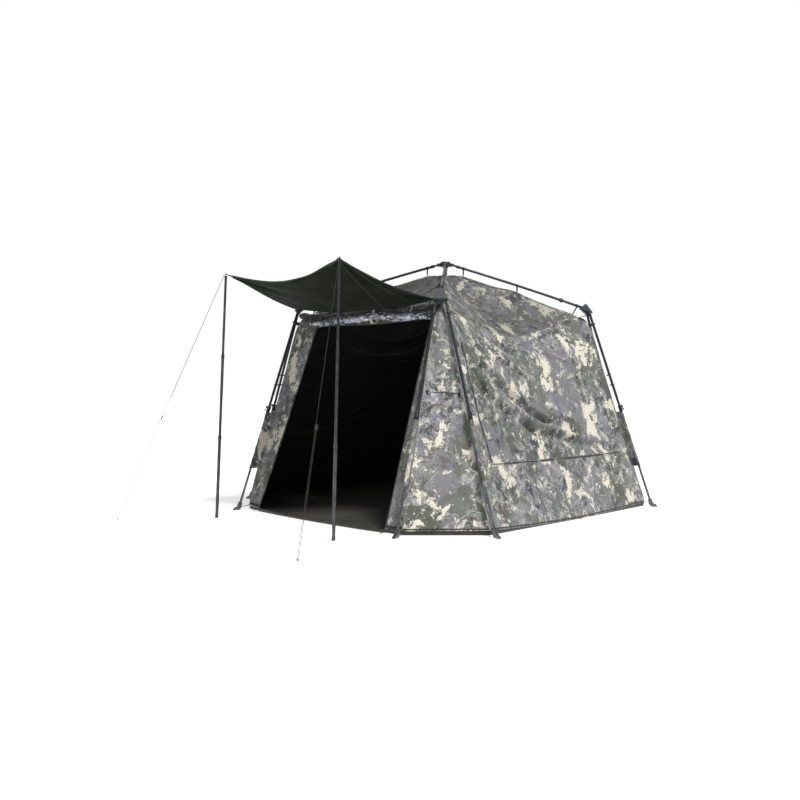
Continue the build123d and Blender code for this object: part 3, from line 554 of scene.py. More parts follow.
class Cloth:
    """A panel as a grid of points, with the place on its print kept for the material."""

    def __init__(self, name, rows, across, down, facing, print_shift=(0, 0, 0)):
        self.name = name
        self.grid = woven_grid(rows, across, down)
        self.print = self.grid + np.array(print_shift)
        normal = surface_normals(self.grid)
        self.sign = 1 if (normal.reshape(-1, 3) @ np.array(facing)).mean() > 0 else -1
        self.size = length_of(self.grid[down // 2]), length_of(self.grid[:, across // 2])
        self.known_normals = None

    def normals(self):
        if self.known_normals is None:
            self.known_normals = surface_normals(self.grid) * self.sign
        return self.known_normals

    def shares(self):
        down, across = self.grid.shape[:2]
        v, u = np.meshgrid(np.linspace(0, 1, down), np.linspace(0, 1, across), indexing="ij")
        return u, v

    def rim(self, reach, only_top=False):
        """1 inside the panel and 0 on the edges that are held."""
        u, v = self.shares()
        fade = np.clip(v * self.size[1] / reach, 0, 1)
        if not only_top:
            fade = np.clip(np.minimum(u, 1 - u) * self.size[0] / reach, 0, 1) * fade
            fade *= np.clip((1 - v) * self.size[1] / reach, 0, 1)
        return fade * fade * (3 - 2 * fade)

    def push(self, amount):
        self.grid = self.grid + self.normals() * amount[..., None]
        self.known_normals = None

    def fold(self, path, width, depth, lip=0.7):
        """A soft crease along a path of (across, down) shares: a ridge with a trough under it."""
        u, v = self.shares()
        here = np.stack([u * self.size[0], v * self.size[1]], axis=-1)
        line = smooth_line(np.array(path) * np.array(self.size), FOLD_SAMPLES)
        gap = here[:, :, None, :] - line[None, None]
        distance = np.linalg.norm(gap, axis=-1)
        nearest = distance.argmin(-1)
        tangent = np.gradient(line, axis=0)
        tangent /= np.linalg.norm(tangent, axis=1, keepdims=True)
        offset = np.take_along_axis(gap, nearest[..., None, None], axis=2)[:, :, 0]
        along = tangent[nearest]
        side = along[..., 0] * offset[..., 1] - along[..., 1] * offset[..., 0]
        past = np.abs((along * offset).sum(-1))
        taper = np.sin(math.pi * (nearest + 0.5) / FOLD_SAMPLES) ** 0.6 * np.exp(-(past / width) ** 2)
        ridge_part = np.exp(-(side / width) ** 2)
        trough = np.exp(-((side - 1.5 * width) / (1.1 * width)) ** 2)
        return depth * taper * (ridge_part - lip * trough)

    def fan(self, place, reach, count, depth, seed):
        """Creases that radiate from a point where the cloth is held."""
        u, v = self.shares()
        x = (u - place[0]) * self.size[0]
        y = (v - place[1]) * self.size[1]
        radius = np.hypot(x, y)
        angle = np.arctan2(y, x)
        random = np.random.default_rng(seed)
        waves = (np.sin(angle * count * random.uniform(0.7, 1.4) + random.uniform(0, 6.3)) for _ in range(3))
        wobble = sum(waves) / 2
        return depth * wobble * np.exp(-((radius - 0.35 * reach) / (0.6 * reach)) ** 2)

    def refine(self):
        """Twice as many points each way, on a smooth curve through the ones there are."""
        for axis in (0, 1):
            for table in ("grid", "print"):
                points = np.moveaxis(getattr(self, table), axis, 0)
                before, after = 2 * points[:1] - points[1:2], 2 * points[-1:] - points[-2:-1]
                padded = np.concatenate([before, points, after])
                between = (9 * (padded[1:-2] + padded[2:-1]) - padded[:-3] - padded[3:]) / 16
                finer = np.empty((2 * len(points) - 1, *points.shape[1:]))
                finer[::2] = points
                finer[1::2] = between
                setattr(self, table, np.moveaxis(finer, 0, axis))
        self.known_normals = None

    def at(self, u, v, lift=0.0):
        """Point on the cloth at shares u across and v down."""
        down, across = self.grid.shape[:2]
        x, y = np.clip(u, 0, 1) * (across - 1), np.clip(v, 0, 1) * (down - 1)
        i, j = min(int(x), across - 2), min(int(y), down - 2)
        fx, fy = x - i, y - j
        normal = self.normals()

        def blend(table):
            return (table[j, i] * (1 - fx) * (1 - fy) + table[j, i + 1] * fx * (1 - fy)
                    + table[j + 1, i] * (1 - fx) * fy + table[j + 1, i + 1] * fx * fy)

        return blend(self.grid) + unit(blend(normal)) * lift

    def piece(self, name, material, columns=None, lining=None):
        """A closed shell of this cloth, or of some of its columns, lined on the inside."""
        first, last = columns or (0, self.grid.shape[1] - 1)
        grid = self.grid[:, first:last + 1]
        normal = self.normals()[:, first:last + 1]
        place = self.print[:, first:last + 1]
        down, across = grid.shape[:2]
        count = down * across
        points = np.concatenate([
            (grid + normal * SHEET / 2).reshape(-1, 3),
            (grid - normal * SHEET / 2).reshape(-1, 3),
        ])
        index = np.arange(count).reshape(down, across)
        a, b, c, d = index[:-1, :-1], index[1:, :-1], index[1:, 1:], index[:-1, 1:]
        outer = np.concatenate([
            np.stack([a, b, c], axis=-1).reshape(-1, 3), np.stack([a, c, d], axis=-1).reshape(-1, 3),
        ])
        if self.sign > 0:
            outer = outer[:, ::-1]
        border = np.concatenate([index[0, :-1], index[:-1, -1], index[-1, :0:-1], index[:0:-1, 0]])
        after = np.roll(border, -1)
        rim = np.stack([border, after, after + count, border + count], axis=-1)
        if self.sign > 0:
            rim = rim[:, ::-1]
        faces = outer.tolist() + (outer[:, ::-1] + count).tolist() + rim.tolist()
        made = skin(name, points, faces, material, np.tile(place.reshape(-1, 3), (2, 1)))
        mesh = made.data
        mesh.materials.append(lining or LINING)
        slots = np.zeros(len(faces), np.int32)
        slots[len(outer):2 * len(outer)] = 1
        mesh.polygons.foreach_set("material_index", slots)
        mesh.validate()
        both_ways = np.concatenate([normal.reshape(-1, 3), -normal.reshape(-1, 3)])
        if len(mesh.vertices) == len(both_ways):
            mesh.normals_split_custom_set_from_vertices(both_ways.tolist())
        return made


def wrapped_tube(name, line, radius, material, sides=8, flatten=1.0, up=(0, 0, 1), taper=None):
    """A closed tube, or a flat strap where flatten is small, along a list of points."""
    line = np.array(line, float)
    tangent = np.gradient(line, axis=0)
    tangent /= np.linalg.norm(tangent, axis=1, keepdims=True)
    up = np.array(up, float) * np.ones_like(line)
    side = np.cross(tangent, up)
    side /= np.maximum(np.linalg.norm(side, axis=1, keepdims=True), 1e-9)
    lift = np.cross(side, tangent)
    angle = np.linspace(0, 2 * math.pi, sides, endpoint=False)
    size = np.ones(len(line)) if taper is None else np.array(taper)
    rings = (line[:, None]
             + side[:, None] * (np.cos(angle) * radius)[None, :, None] * size[:, None, None]
             + lift[:, None] * (np.sin(angle) * radius * flatten)[None, :, None] * size[:, None, None])
    return skin_over_rings(name, rings, material)


def ring_round(centre, way, side, radius):
    """A circle of points round a centre, in the plane of two directions, and each one's direction."""
    angle = np.linspace(0, 2 * math.pi, 21)
    off = way * np.cos(angle)[:, None] + side * np.sin(angle)[:, None]
    return centre + off * radius, off


class Hold:
    """What a soft piece is held by: a body, and if it gathers as a joint folds, how."""

    def __init__(self, body, joint=None, axis=None, anchor=None, keep=None):
        self.body, self.joint = body, joint
        self.axis, self.anchor, self.keep = axis, anchor, keep

    def take(self, piece, slot, node=None):
        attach(piece, self.body)
        if self.joint:
            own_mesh(piece)
        if node:
            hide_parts(node)
        return piece


BASE = Hold("base")


def gather_to_middle(place):
    """Something that lies on the ground and is drawn in under the hub as the frame folds."""
    return Hold("base", "hub_drop", unit(np.array([place[0], place[1], 0.0])), (0, 0, 0), 0.10)


def length_of(points):
    return np.linalg.norm(np.diff(points, axis=0), axis=1).sum()


RIBBON_SPACING = 0.012


def ribbon(cloth, name, path, width, thickness, material, holds, slot, lift=0.0):
    """A strip sewn to a cloth along a path, in one piece for each of the cloth's halves."""
    length = length_of(smooth_line(np.array(path, float) * np.array(cloth.size), 60))
    places = smooth_line(path, max(int(length / RIBBON_SPACING), 4))
    height = SHEET / 2 + thickness * 0.35 + lift
    points = np.array([cloth.at(u, v, height) for u, v in places])
    up = points - np.array([cloth.at(u, v, height - 0.01) for u, v in places])
    halves = [places[:, 0] <= 0.5, places[:, 0] > 0.5]
    if len(holds) == 1:
        halves = [np.ones(len(places), bool)]
    for number, (chosen, hold) in enumerate(zip(halves, holds)):
        if chosen.sum() < 3:
            continue
        strip = wrapped_tube(
            f"{name}_{number}", points[chosen], width / 2, material, 8, thickness / width, up[chosen],
        )
        hold.take(strip, slot)


CLOTH_SETTINGS = {
    "quality": 6, "mass": 0.02, "tension_stiffness": 60, "compression_stiffness": 30,
    "shear_stiffness": 20, "bending_stiffness": 0.05, "air_damping": 3, "vertex_group_mass": "held",
}


def settle(cloth, held, frames, cap):
    """Lets a cloth hang under its own weight from the points where held is 1."""
    down, across = cloth.grid.shape[:2]
    index = np.arange(down * across).reshape(down, across)
    quads = np.stack([index[:-1, :-1], index[1:, :-1], index[1:, 1:], index[:-1, 1:]], axis=-1)
    mesh = bpy.data.meshes.new("settling")
    mesh.from_pydata(cloth.grid.reshape(-1, 3).tolist(), [], quads.reshape(-1, 4).tolist())
    hanging = placed("settling", mesh)
    scene = bpy.context.scene
    group = hanging.vertex_groups.new(name="held")
    weights = held.ravel()
    for point in np.flatnonzero(weights > 0.01):
        group.add([int(point)], float(weights[point]), "REPLACE")
    modifier = hanging.modifiers.new("settle", "CLOTH")
    for setting, value in CLOTH_SETTINGS.items():
        setattr(modifier.settings, setting, value)
    modifier.collision_settings.use_collision = False
    modifier.point_cache.frame_start = 1
    modifier.point_cache.frame_end = frames
    for number in range(1, frames + 1):
        scene.frame_set(number)
    shape = hanging.evaluated_get(bpy.context.evaluated_depsgraph_get())
    points = np.empty(down * across * 3, np.float32)
    shape.data.vertices.foreach_get("co", points)
    moved = points.reshape(down, across, 3).astype(float) - cloth.grid
    size = np.linalg.norm(moved, axis=2, keepdims=True)
    print(f"{cloth.name}: settled by up to {size.max() * 1000:.1f} mm")
    cloth.grid = cloth.grid + moved * np.minimum(1, cap / np.maximum(size, 1e-9))
    cloth.known_normals = None
    bpy.data.objects.remove(hanging)
    scene.frame_set(1)


# ------------------------------------------------------------------ roof
HALF = 34                             # grid columns from a ridge to the middle of a slope
DEEP = 58                             # grid rows from the apex to the eave
RIDGE_POINTS = [(0.160, 1.998), (0.400, 1.925), (0.640, 1.858), (0.900, 1.760), EAVE]


def sagging_row(left, right, middle, power=1.55):
    """A row of five points that hangs from two ends down to a middle point."""
    left, right, middle = (np.array(p, float) for p in (left, right, middle))
    row = []
    for share in (-1, -0.5, 0, 0.5, 1):
        end = left if share < 0 else right
        row.append(middle + (end - middle) * np.array([abs(share), abs(share), abs(share) ** power]))
    return row


def roof_slope(name, first, second, fold, facing):
    """One slope of the roof, hung between two ridges, with creases that run out from its clips."""
    fold = np.array(fold, float)
    rows = [[APEX] * 5]
    for radius, height in RIDGE_POINTS:
        share = radius / EAVE[0]
        middle = APEX + (fold - APEX) * share
        middle[2] -= 0.012 * math.sin(math.pi * share)
        rows.append(sagging_row(ridge(*first, radius, height), ridge(*second, radius, height), middle))
    cloth = Cloth(name, rows, 2 * HALF + 1, DEEP, facing, print_shift=(len(name) * 0.7, 0, 0))
    held = cloth.rim(0.05)
    cloth.push(held * 0.006 * ripple(cloth.grid, 0.26, len(name)))
    cloth.push(held * 0.003 * ripple(cloth.grid, 0.09, len(name) + 5))
    for side in (0, 1):
        for clip in (0.14, 0.56, 0.97):
            cloth.push(held * cloth.fan((side, clip), 0.26, 5, 0.008, int(clip * 100) + side))
    u, v = cloth.shares()
    from_ridge = np.minimum(u, 1 - u) * cloth.size[0] * np.maximum(v, 0.2)
    for clip, rise in ((0.56, 0.012), (0.95, 0.008)):
        gap = np.hypot(from_ridge, (v - clip) * cloth.size[1])
        cloth.push(rise * np.exp(-(gap / 0.07) ** 2))
    return cloth


SLOPES = {
    "front": (("front_left", "front_right"), (0, -0.868, 1.640), (0, -0.5, 1)),
    "back": (("back_left", "back_right"), (0, 0.850, 1.470), (0, 0.5, 1)),
    "left": (("front_left", "back_left"), (-0.717, 0, 1.443), (-0.5, 0, 1)),
    "right": (("front_right", "back_right"), (0.717, 0, 1.443), (0.5, 0, 1)),
}
for side, (corners, fold, facing) in SLOPES.items():
    cloth = roof_slope(f"roof_{side}", CORNERS[corners[0]], CORNERS[corners[1]], fold, facing)
    holds = []
    for corner, columns in zip(corners, ((0, HALF), (HALF, 2 * HALF))):
        # The front slope takes the copy with the darkest painted shade, the other slopes the roof copy with
        # painted shade.
        piece = cloth.piece(f"roof_{side}_{corner}", CAMO_FRONT_SHADED if side == "front" else CAMO_ROOF_SHADED, columns)
        spine = unit(ridge(*CORNERS[corner], *EAVE) - APEX)
        across = np.array(fold) - APEX
        across = unit(across - spine * (across @ spine))
        holds.append(Hold(f"arm_{corner}", f"arm_fold_{corner}", across, APEX, 0.10))
        holds[-1].take(piece, "cloth_camo", "roof_canopy")
    edge = 0.012 / cloth.size[0]
    for number, start in enumerate((0.0, 1.0)):
        inward = edge if start == 0 else -edge
        path = [(start + inward * 4, 0.03), (start + inward * 1.6, 0.3), (start + inward, 0.985)]
        ribbon(cloth, f"ridge_seam_{side}_{number}", path, 0.014, 0.0016, SEAM, holds, "cloth_camo")


# ------------------------------------------------------------------ walls
WALL_HALF = 104                       # grid columns from a leg to the middle, once refined
WALL_DEEP = 92                        # grid rows from the eave to the hem, before that


def wall_rows(first, second, kind, fold, hem_middle, normal_axis):
    """Rows of a wall from its eave down to its hem. It leans in at its top and middle."""
    fold = np.array(fold, float)
    hem_middle = np.array(hem_middle, float)
    rows = [sagging_row(ridge(*first, *EAVE), ridge(*second, *EAVE), fold)]
    shoulders = [shoulder(*corner, kind) for corner in (first, second)]
    hems = [hem_corner(*corner, kind) for corner in (first, second)]
    flat_top = (shoulders[0] + shoulders[1]) / 2
    for share, lean in ((0.0, None), (0.17, 0.080), (0.44, 0.034), (0.72, 0.010), (1.0, 0.0)):
        ends = [s + (h - s) * share for s, h in zip(shoulders, hems)]
        if lean is None:
            middle = fold + (hem_middle - fold) * 0.075
        else:
            middle = flat_top + (hem_middle - flat_top) * share
            middle[2] = min(middle[2], fold[2] - 0.9 * share)
            middle -= np.array(normal_axis) * lean
        rows.append(sagging_row(ends[0], ends[1], middle, 1.7))
    return rows


def make_wall(name, corners, kind, fold, hem_middle, normal_axis, folds, seed):
    """One wall: creases from its corners, settled, then its long folds and a fine ripple."""
    rows = wall_rows(CORNERS[corners[0]], CORNERS[corners[1]], kind, fold, hem_middle, normal_axis)
    cloth = Cloth(name, rows, WALL_HALF + 1, WALL_DEEP, normal_axis, (0, seed * 0.9, seed * 0.4))
    held = cloth.rim(0.10)
    u, v = cloth.shares()
    cloth.push(held * 0.009 * ripple(cloth.print, 0.42, seed))
    for number, (place, reach, count, depth) in enumerate((
        ((0.0, 0.10), 0.6, 9, 0.010), ((1.0, 0.10), 0.5, 8, 0.008),
        ((0.0, 1.0), 0.3, 4, 0.005), ((1.0, 1.0), 0.3, 4, 0.005),
    )):
        cloth.push(held * cloth.fan(place, reach, count, depth, seed + 2 + number))
    from_edge = np.minimum(np.minimum(u, 1 - u) * cloth.size[0], np.minimum(v, 1 - v) * cloth.size[1])
    settle(cloth, np.clip(1 - from_edge / 0.03, 0, 1), 16, 0.012)
    cloth.refine()
    held = cloth.rim(0.06)
    for path, width, depth in folds:
        cloth.push(held * cloth.fold(path, 0.8 * width, 1.25 * depth, 1.1))
    cloth.push(held * 0.003 * ripple(cloth.print, 0.10, seed + 1))
    return cloth


# Folds that swing down from the upper front corner towards the lower back corner
SWAGS = [
    ([(0.068, 0.48), (0.259, 0.593), (0.462, 0.671), (0.723, 0.727), (0.944, 0.756)], 0.030, 0.030),
    ([(0.118, 0.413), (0.226, 0.487), (0.36, 0.572), (0.485, 0.627), (0.692, 0.648)], 0.026, 0.022),
    ([(0.259, 0.411), (0.366, 0.44), (0.461, 0.502)], 0.024, 0.014),
    ([(0.047, 0.20), (0.112, 0.291), (0.213, 0.394)], 0.020, 0.015),
    ([(0.08, 0.414), (0.139, 0.517), (0.184, 0.591)], 0.022, 0.015),
    ([(0.288, 0.586), (0.408, 0.67), (0.481, 0.717)], 0.020, 0.013),
    ([(0.367, 0.587), (0.557, 0.652), (0.803, 0.722)], 0.022, 0.013),
    ([(0.55, 0.30), (0.68, 0.40), (0.84, 0.45)], 0.030, 0.008),
    ([(0.60, 0.90), (0.75, 0.87), (0.92, 0.90)], 0.022, 0.006),
]


def mirrored(path):
    return [(1 - u, v) for u, v in path]


LEFT_SWAGS = [(mirrored(path), width, depth) for path, width, depth in SWAGS]
# Corners, which leg of each, middle of the eave, middle of the hem, facing, folds, seed
WALLS = {
    "right": (("front_right", "back_right"), "side", (0.717, 0, 1.443), (1.372, 0, 0.006),
              (1, 0, 0), SWAGS, 11),
    "left": (("front_left", "back_left"), "side", (-0.717, 0, 1.443), (-1.372, 0, 0.006),
             (-1, 0, 0), LEFT_SWAGS, 23),
    "back": (("back_left", "back_right"), "end", (0, 0.850, 1.470), (0, 1.492, 0.006),
             (0, 1, 0), SWAGS, 37),
}
ZIPS = [
    [(0.05, 0.225), (0.052, 0.36), (0.057, 0.51), (0.068, 0.64), (0.080, 0.727), (0.084, 0.791)],
    [(0.084, 0.791), (0.30, 0.790), (0.541, 0.790), (0.75, 0.793), (0.935, 0.796)],
]
ZIP_PIPING = [(0.060, 0.20), (0.066, 0.36), (0.072, 0.517), (0.088, 0.727)]
LEG_MIDDLE = 0.9                      # from the pin down to where the cloth gathers along a leg
wall_cloths = {}
for side, (corners, kind, fold, hem_middle, facing, folds, seed) in WALLS.items():
    cloth = make_wall(f"wall_{side}", corners, kind, fold, hem_middle, facing, folds, seed)
    wall_cloths[side] = cloth
    holds = []
    for corner, columns in zip(corners, ((0, WALL_HALF), (WALL_HALF, 2 * WALL_HALF))):
        piece = cloth.piece(f"wall_{side}_{corner}", CAMO, columns)
        leg = LEGS[f"{corner}_{kind}"]
        across = cloth.at(0.5, 0.6) - leg.at(LEG_MIDDLE)
        across = unit(across - leg.down * (across @ leg.down))
        holds.append(Hold(leg.upper, f"leg_fold_{leg.name}", across, leg.at(LEG_MIDDLE), 0.07))
        holds[-1].take(piece, "cloth_camo", f"wall_{side}")
    ribbon(cloth, f"hem_{side}", [(u, 0.995) for u in (0.004, 0.25, 0.5, 0.75, 0.996)],
           0.010, 0.0018, BINDING, holds, "cloth_ground")
    near = 1 if side == "left" else 0
    inward = 1 - 2 * near
    ribbon(cloth, f"eave_piping_{side}_{near}",
           [(near, 0.0), (near + inward * 0.05, 0.004), (near + inward * 0.12, 0.012)],
           0.009, 0.006, PALE_WEBBING, [holds[near]], "webbing")
    for number, start in enumerate((0.0, 1.0)):
        inward = 0.006 if start == 0 else -0.006
        ribbon(cloth, f"edge_seam_{side}_{number}", [(start + inward, v) for v in (0.19, 0.45, 0.99)],
               0.012, 0.0018, SEAM, holds, "cloth_camo")
    if side == "back":
        continue
    turned = mirrored if side == "left" else list
    for number, path in enumerate(turned(path) for path in ZIPS):
        ribbon(cloth, f"zip_flap_{side}_{number}", path, 0.022, 0.0014, CAMO, holds, "cloth_camo")
        teeth = path[1:] if number == 0 else path
        ribbon(cloth, f"zip_teeth_{side}_{number}", teeth, 0.007, 0.004, WEBBING, holds, "webbing", lift=0.003)
    ribbon(cloth, f"zip_piping_{side}", turned(ZIP_PIPING), 0.004, 0.003, PIPING, holds, "cloth_camo")


# ------------------------------------------------------------------ corner panels
corner_cloths = {}
corner_holds = {}
for number, (corner, (sx, sy)) in enumerate(CORNERS.items()):
    eave = ridge(sx, sy, *EAVE)
    tops = shoulder(sx, sy, "end"), shoulder(sx, sy, "side")
    hems = hem_corner(sx, sy, "end"), hem_corner(sx, sy, "side")
    rows = [[eave + (tops[0] - eave) * 0.05, eave, eave + (tops[1] - eave) * 0.05]]
    for share in (0.0, 0.3, 0.65, 1.0):
        ends = [t + (h - t) * share for t, h in zip(tops, hems)]
        middle = (ends[0] + ends[1]) / 2 - outward(sx, sy) * 0.018 * math.sin(math.pi * share)
        rows.append([ends[0], middle, ends[1]])
    cloth = Cloth(f"corner_{corner}", rows, 35, 84, outward(sx, sy), (number * 1.7, 0.6, number))
    held = cloth.rim(0.07)
    cloth.push(held * 0.006 * ripple(cloth.print, 0.30, 60 + number))
    cloth.push(held * 0.0022 * ripple(cloth.print, 0.10, 70 + number))
    cloth.push(held * cloth.fold([(0.2, 0.3), (0.45, 0.5), (0.8, 0.62)], 0.026, 0.006))
    cloth.push(held * cloth.fold([(0.85, 0.55), (0.5, 0.75), (0.15, 0.86)], 0.03, 0.006))
    corner_cloths[corner] = cloth
    # The corner panels take the copy with painted light.
    piece = cloth.piece(f"corner_panel_{corner}", CAMO_CORNER_LIT)
    leg = LEGS[f"{corner}_end"]
    across = unit(hems[1] - hems[0])
    across = unit(across - leg.down * (across @ leg.down))
    hold = Hold(leg.upper, f"leg_fold_{leg.name}", across, leg.at(LEG_MIDDLE), 0.13)
    corner_holds[corner] = hold
    hold.take(piece, "cloth_camo", "corner_panels")
    for name, path, width, thickness, material, slot in (
        ("hem", [(0.01, 0.995), (0.5, 0.995), (0.99, 0.995)], 0.010, 0.0018, BINDING, "cloth_ground"),
        ("side_piping", [(0.985, 0.27), (0.99, 0.6), (0.995, 0.985)], 0.006, 0.006, PIPING, "cloth_camo"),
        ("end_piping", [(0.015, 0.27), (0.01, 0.6), (0.005, 0.985)], 0.006, 0.006, PIPING, "cloth_camo"),
        ("corner_zip", [(0.06, 0.550), (0.35, 0.553), (0.65, 0.556), (0.94, 0.560)], 0.005, 0.004,
         WEBBING, "webbing"),
    ):
        ribbon(cloth, f"{name}_{corner}", path, width, thickness, material, [hold], slot)
    for number, place in enumerate(((0.10, 0.551), (0.90, 0.560))):
        middle = cloth.at(*place, 0.004)
        line = [middle + np.array([0, 0, z]) for z in (0.012, 0.0, -0.014, -0.028)]
        tab = wrapped_tube(f"corner_buckle_{corner}_{number}", line, 0.008, WEBBING, 8, 0.35,
                           outward(sx, sy), [0.9, 1.0, 1.0, 0.7])
        hold.take(tab, "webbing")


# ------------------------------------------------------------------ front wall round the door
def front_point(x, height):
    """Point on the front wall's slope."""
    top, low = shoulder(1, -1, "end"), hem_corner(1, -1, "end")
    share = (top[2] - height) / (top[2] - low[2])
    return np.array([x, top[1] + share * (low[1] - top[1]), height])


left_rows = [
    [ridge(-1, -1, *EAVE), front_point(-0.62, 1.66) + np.array([0, 0.10, 0]), front_point(-0.50, 1.62)],
    [shoulder(-1, -1, "end"), front_point(-0.66, 1.545), front_point(-0.535, 1.52)],
    [front_point(-0.822, 1.10), front_point(-0.70, 1.09), front_point(-0.592, 1.08)],
    [front_point(-0.862, 0.60), front_point(-0.765, 0.58), front_point(-0.668, 0.56)],
    [hem_corner(-1, -1, "end"), front_point(-0.83, 0.024), front_point(-0.756, 0.022)],
]
right_rows = [
    [ridge(1, -1, *EAVE), front_point(0.785, 1.60) + np.array([0, 0.03, 0]), front_point(0.775, 1.56)],
    [shoulder(1, -1, "end"), front_point(0.783, 1.50), front_point(0.772, 1.47)],
    [front_point(0.822, 1.10), front_point(0.79, 1.09), front_point(0.757, 1.08)],
    [front_point(0.862, 0.60), front_point(0.80, 0.59), front_point(0.745, 0.58)],
    [hem_corner(1, -1, "end"), front_point(0.82, 0.024), front_point(0.734, 0.024)],
]
strip_cloths = {}
for side, rows, across, shift in (("left", left_rows, 17, 2.2), ("right", right_rows, 13, 4.9)):
    cloth = Cloth(f"door_strip_{side}", rows, across, 90, (0, -1, 0), (shift, 0, 0.3))
    held = cloth.rim(0.05)
    cloth.push(held * 0.004 * ripple(cloth.print, 0.2, 81))
    cloth.push(held * 0.002 * ripple(cloth.print, 0.08, 82))
    strip_cloths[side] = cloth
    piece = cloth.piece(f"door_strip_{side}", CAMO)
    hold = Hold(f"upper_front_{side}_end")
    hold.take(piece, "cloth_camo", "wall_front")
    ribbon(cloth, f"door_edge_{side}", [(0.96, 0.12), (0.97, 0.4), (0.97, 0.7), (0.95, 0.99)],
           0.010, 0.003, WEBBING, [hold], "webbing")
    ribbon(cloth, f"strip_hem_{side}", [(0.03, 0.990), (0.5, 0.990), (0.97, 0.990)],
           0.022, 0.0018, BINDING, [hold], "cloth_ground")

header_rows = [
    sagging_row(ridge(-1, -1, *EAVE), ridge(1, -1, *EAVE), (0, -0.868, 1.640)),
    sagging_row((-0.77, -0.93, 1.60), (0.77, -0.93, 1.60), (0, -0.89, 1.585)),
    sagging_row((-0.76, -0.945, 1.55), (0.76, -0.945, 1.55), (0, -0.90, 1.535)),
]
header = Cloth("door_header", header_rows, 2 * HALF + 1, 12, (0, -1, 0), (7, 0, 0))
door_holds = {}                       # what hangs over the door gathers sideways to the end leg
for side, columns in (("left", (0, HALF)), ("right", (HALF, 2 * HALF))):
    leg = LEGS[f"front_{side}_end"]
    door_holds[side] = Hold(leg.upper, f"leg_fold_{leg.name}", (1, 0, 0), leg.pin, 0.08)
    # The header takes the door copy, with painted shade for the shade under the awning.
    piece = header.piece(f"door_header_front_{side}", CAMO_SHADED, columns)
    door_holds[side].take(piece, "cloth_camo")


# ------------------------------------------------------------------ rolled doors
DOOR_ROLL, MESH_ROLL = np.array([-0.962, 1.640]), np.array([-0.992, 1.578])


def cloth_roll(name, ends, centre, radius, material, seed, lumps):
    """A rolled-up sheet: an uneven bundle with a spiral end and a loose outer edge."""
    turns = 56
    count = max(int(abs(ends[1] - ends[0]) / 0.008), 20)
    angle = np.linspace(0, 2 * math.pi, turns)
    along = np.linspace(ends[0], ends[1], count)
    u, v = np.meshgrid(angle, along)
    droop = -0.010 * np.cos(v * 5.1 + seed) - 0.006 * np.sin(v * 13 + seed)
    points = np.stack([v, np.cos(u), np.sin(u)], axis=-1)
    uneven = 1 + lumps * ripple(points * np.array([1, 0.05, 0.05]), 0.11, seed, stretch=(1, 0.6, 0.6))
    uneven += 0.7 * lumps * ripple(points * np.array([1, 0.03, 0.03]), 0.035, seed + 1, stretch=(1, 1, 1))
    flap = 0.16 * np.clip(1 - u / 1.2, 0, 1)
    size = radius * (0.86 * uneven + flap)
    end_fade = np.clip(np.minimum(v - ends[0], ends[1] - v) / 0.02, 0, 1)
    size = size * (0.80 + 0.20 * np.sqrt(end_fade))
    y = centre[0] - np.cos(u) * size
    z = centre[1] + droop + np.sin(u) * size
    grid = np.stack([v, y, z], axis=-1)
    ring = grid[:, :-1]
    count_around = turns - 1
    points = ring.reshape(-1, 3)
    faces = []
    for j in range(count - 1):
        for k in range(count_around):
            a, b = j * count_around + k, j * count_around + (k + 1) % count_around
            faces.append((a, a + count_around, b + count_around, b))
    extra = []
    for end in (0, count - 1):
        base = len(points) + len(extra) * count_around
        way = -1 if end == 0 else 1
        middle = np.array([along[end], centre[0], centre[1] + droop[end, 0]])
        previous = np.arange(end * count_around, (end + 1) * count_around)
        for shrink, inset in ((0.86, -0.004), (0.70, 0.003), (0.52, -0.005), (0.34, 0.002), (0.1, -0.006)):
            circle = middle + (ring[end] - middle) * shrink + np.array([way * inset, 0, 0])
            start = len(points) + len(extra) * count_around
            extra.append(circle)
            now = np.arange(start, start + count_around)
            for k in range(count_around):
                a, b = previous[k], previous[(k + 1) % count_around]
                c, d = now[(k + 1) % count_around], now[k]
                faces.append((a, b, c, d) if way < 0 else (d, c, b, a))
            previous = now
        faces.append(tuple(previous.tolist()) if way < 0 else tuple(previous[::-1].tolist()))
    all_points = np.concatenate([points] + extra)
    return skin(name, all_points, faces, material, all_points + seed)


for side, door_ends, mesh_ends in (("left", (-0.83, 0.0), (-0.64, 0.0)), ("right", (0.0, 0.79), (0.0, 0.76))):
    # The rolled camouflage door takes the door copy, with painted shade for the shade under the awning.
    roll = cloth_roll(f"rolled_door_{side}", door_ends, DOOR_ROLL, 0.030, CAMO_SHADED, 3, 0.16)
    door_holds[side].take(roll, "cloth_camo", "rolled_door")
    roll = cloth_roll(f"rolled_mesh_door_{side}", mesh_ends, MESH_ROLL, 0.032, FOIL, 9, 0.2)
    door_holds[side].take(roll, "cloth_silver", "rolled_mesh_door")

# ------------------------------------------------------------------ groundsheet
HEM_LOOP = np.concatenate([
    smooth_line([(-0.756, -1.490, 0.020), (-0.40, -1.512, 0.012), (0, -1.520, 0.010),
                 (0.40, -1.512, 0.012), (0.734, -1.490, 0.022)], 40),
    strip_cloths["right"].grid[-1][::-1][1:-1],
    corner_cloths["front_right"].grid[-1][:-1],
    wall_cloths["right"].grid[-1][:-1],
    corner_cloths["back_right"].grid[-1][::-1][:-1],
    wall_cloths["back"].grid[-1][::-1][:-1],
    corner_cloths["back_left"].grid[-1][:-1],
    wall_cloths["left"].grid[-1][::-1][:-1],
    corner_cloths["front_left"].grid[-1][::-1][:-1],
    strip_cloths["left"].grid[-1][:-1],
])


def evenly(loop, count):
    """count points evenly along a closed line, the last being the first again."""
    closed = np.concatenate([loop, loop[:1]])
    travelled = np.concatenate([[0], np.cumsum(np.linalg.norm(np.diff(closed, axis=0), axis=1))])
    places = np.linspace(0, travelled[-1], count)
    return np.stack([np.interp(places, travelled, closed[:, k]) for k in range(3)], axis=1)


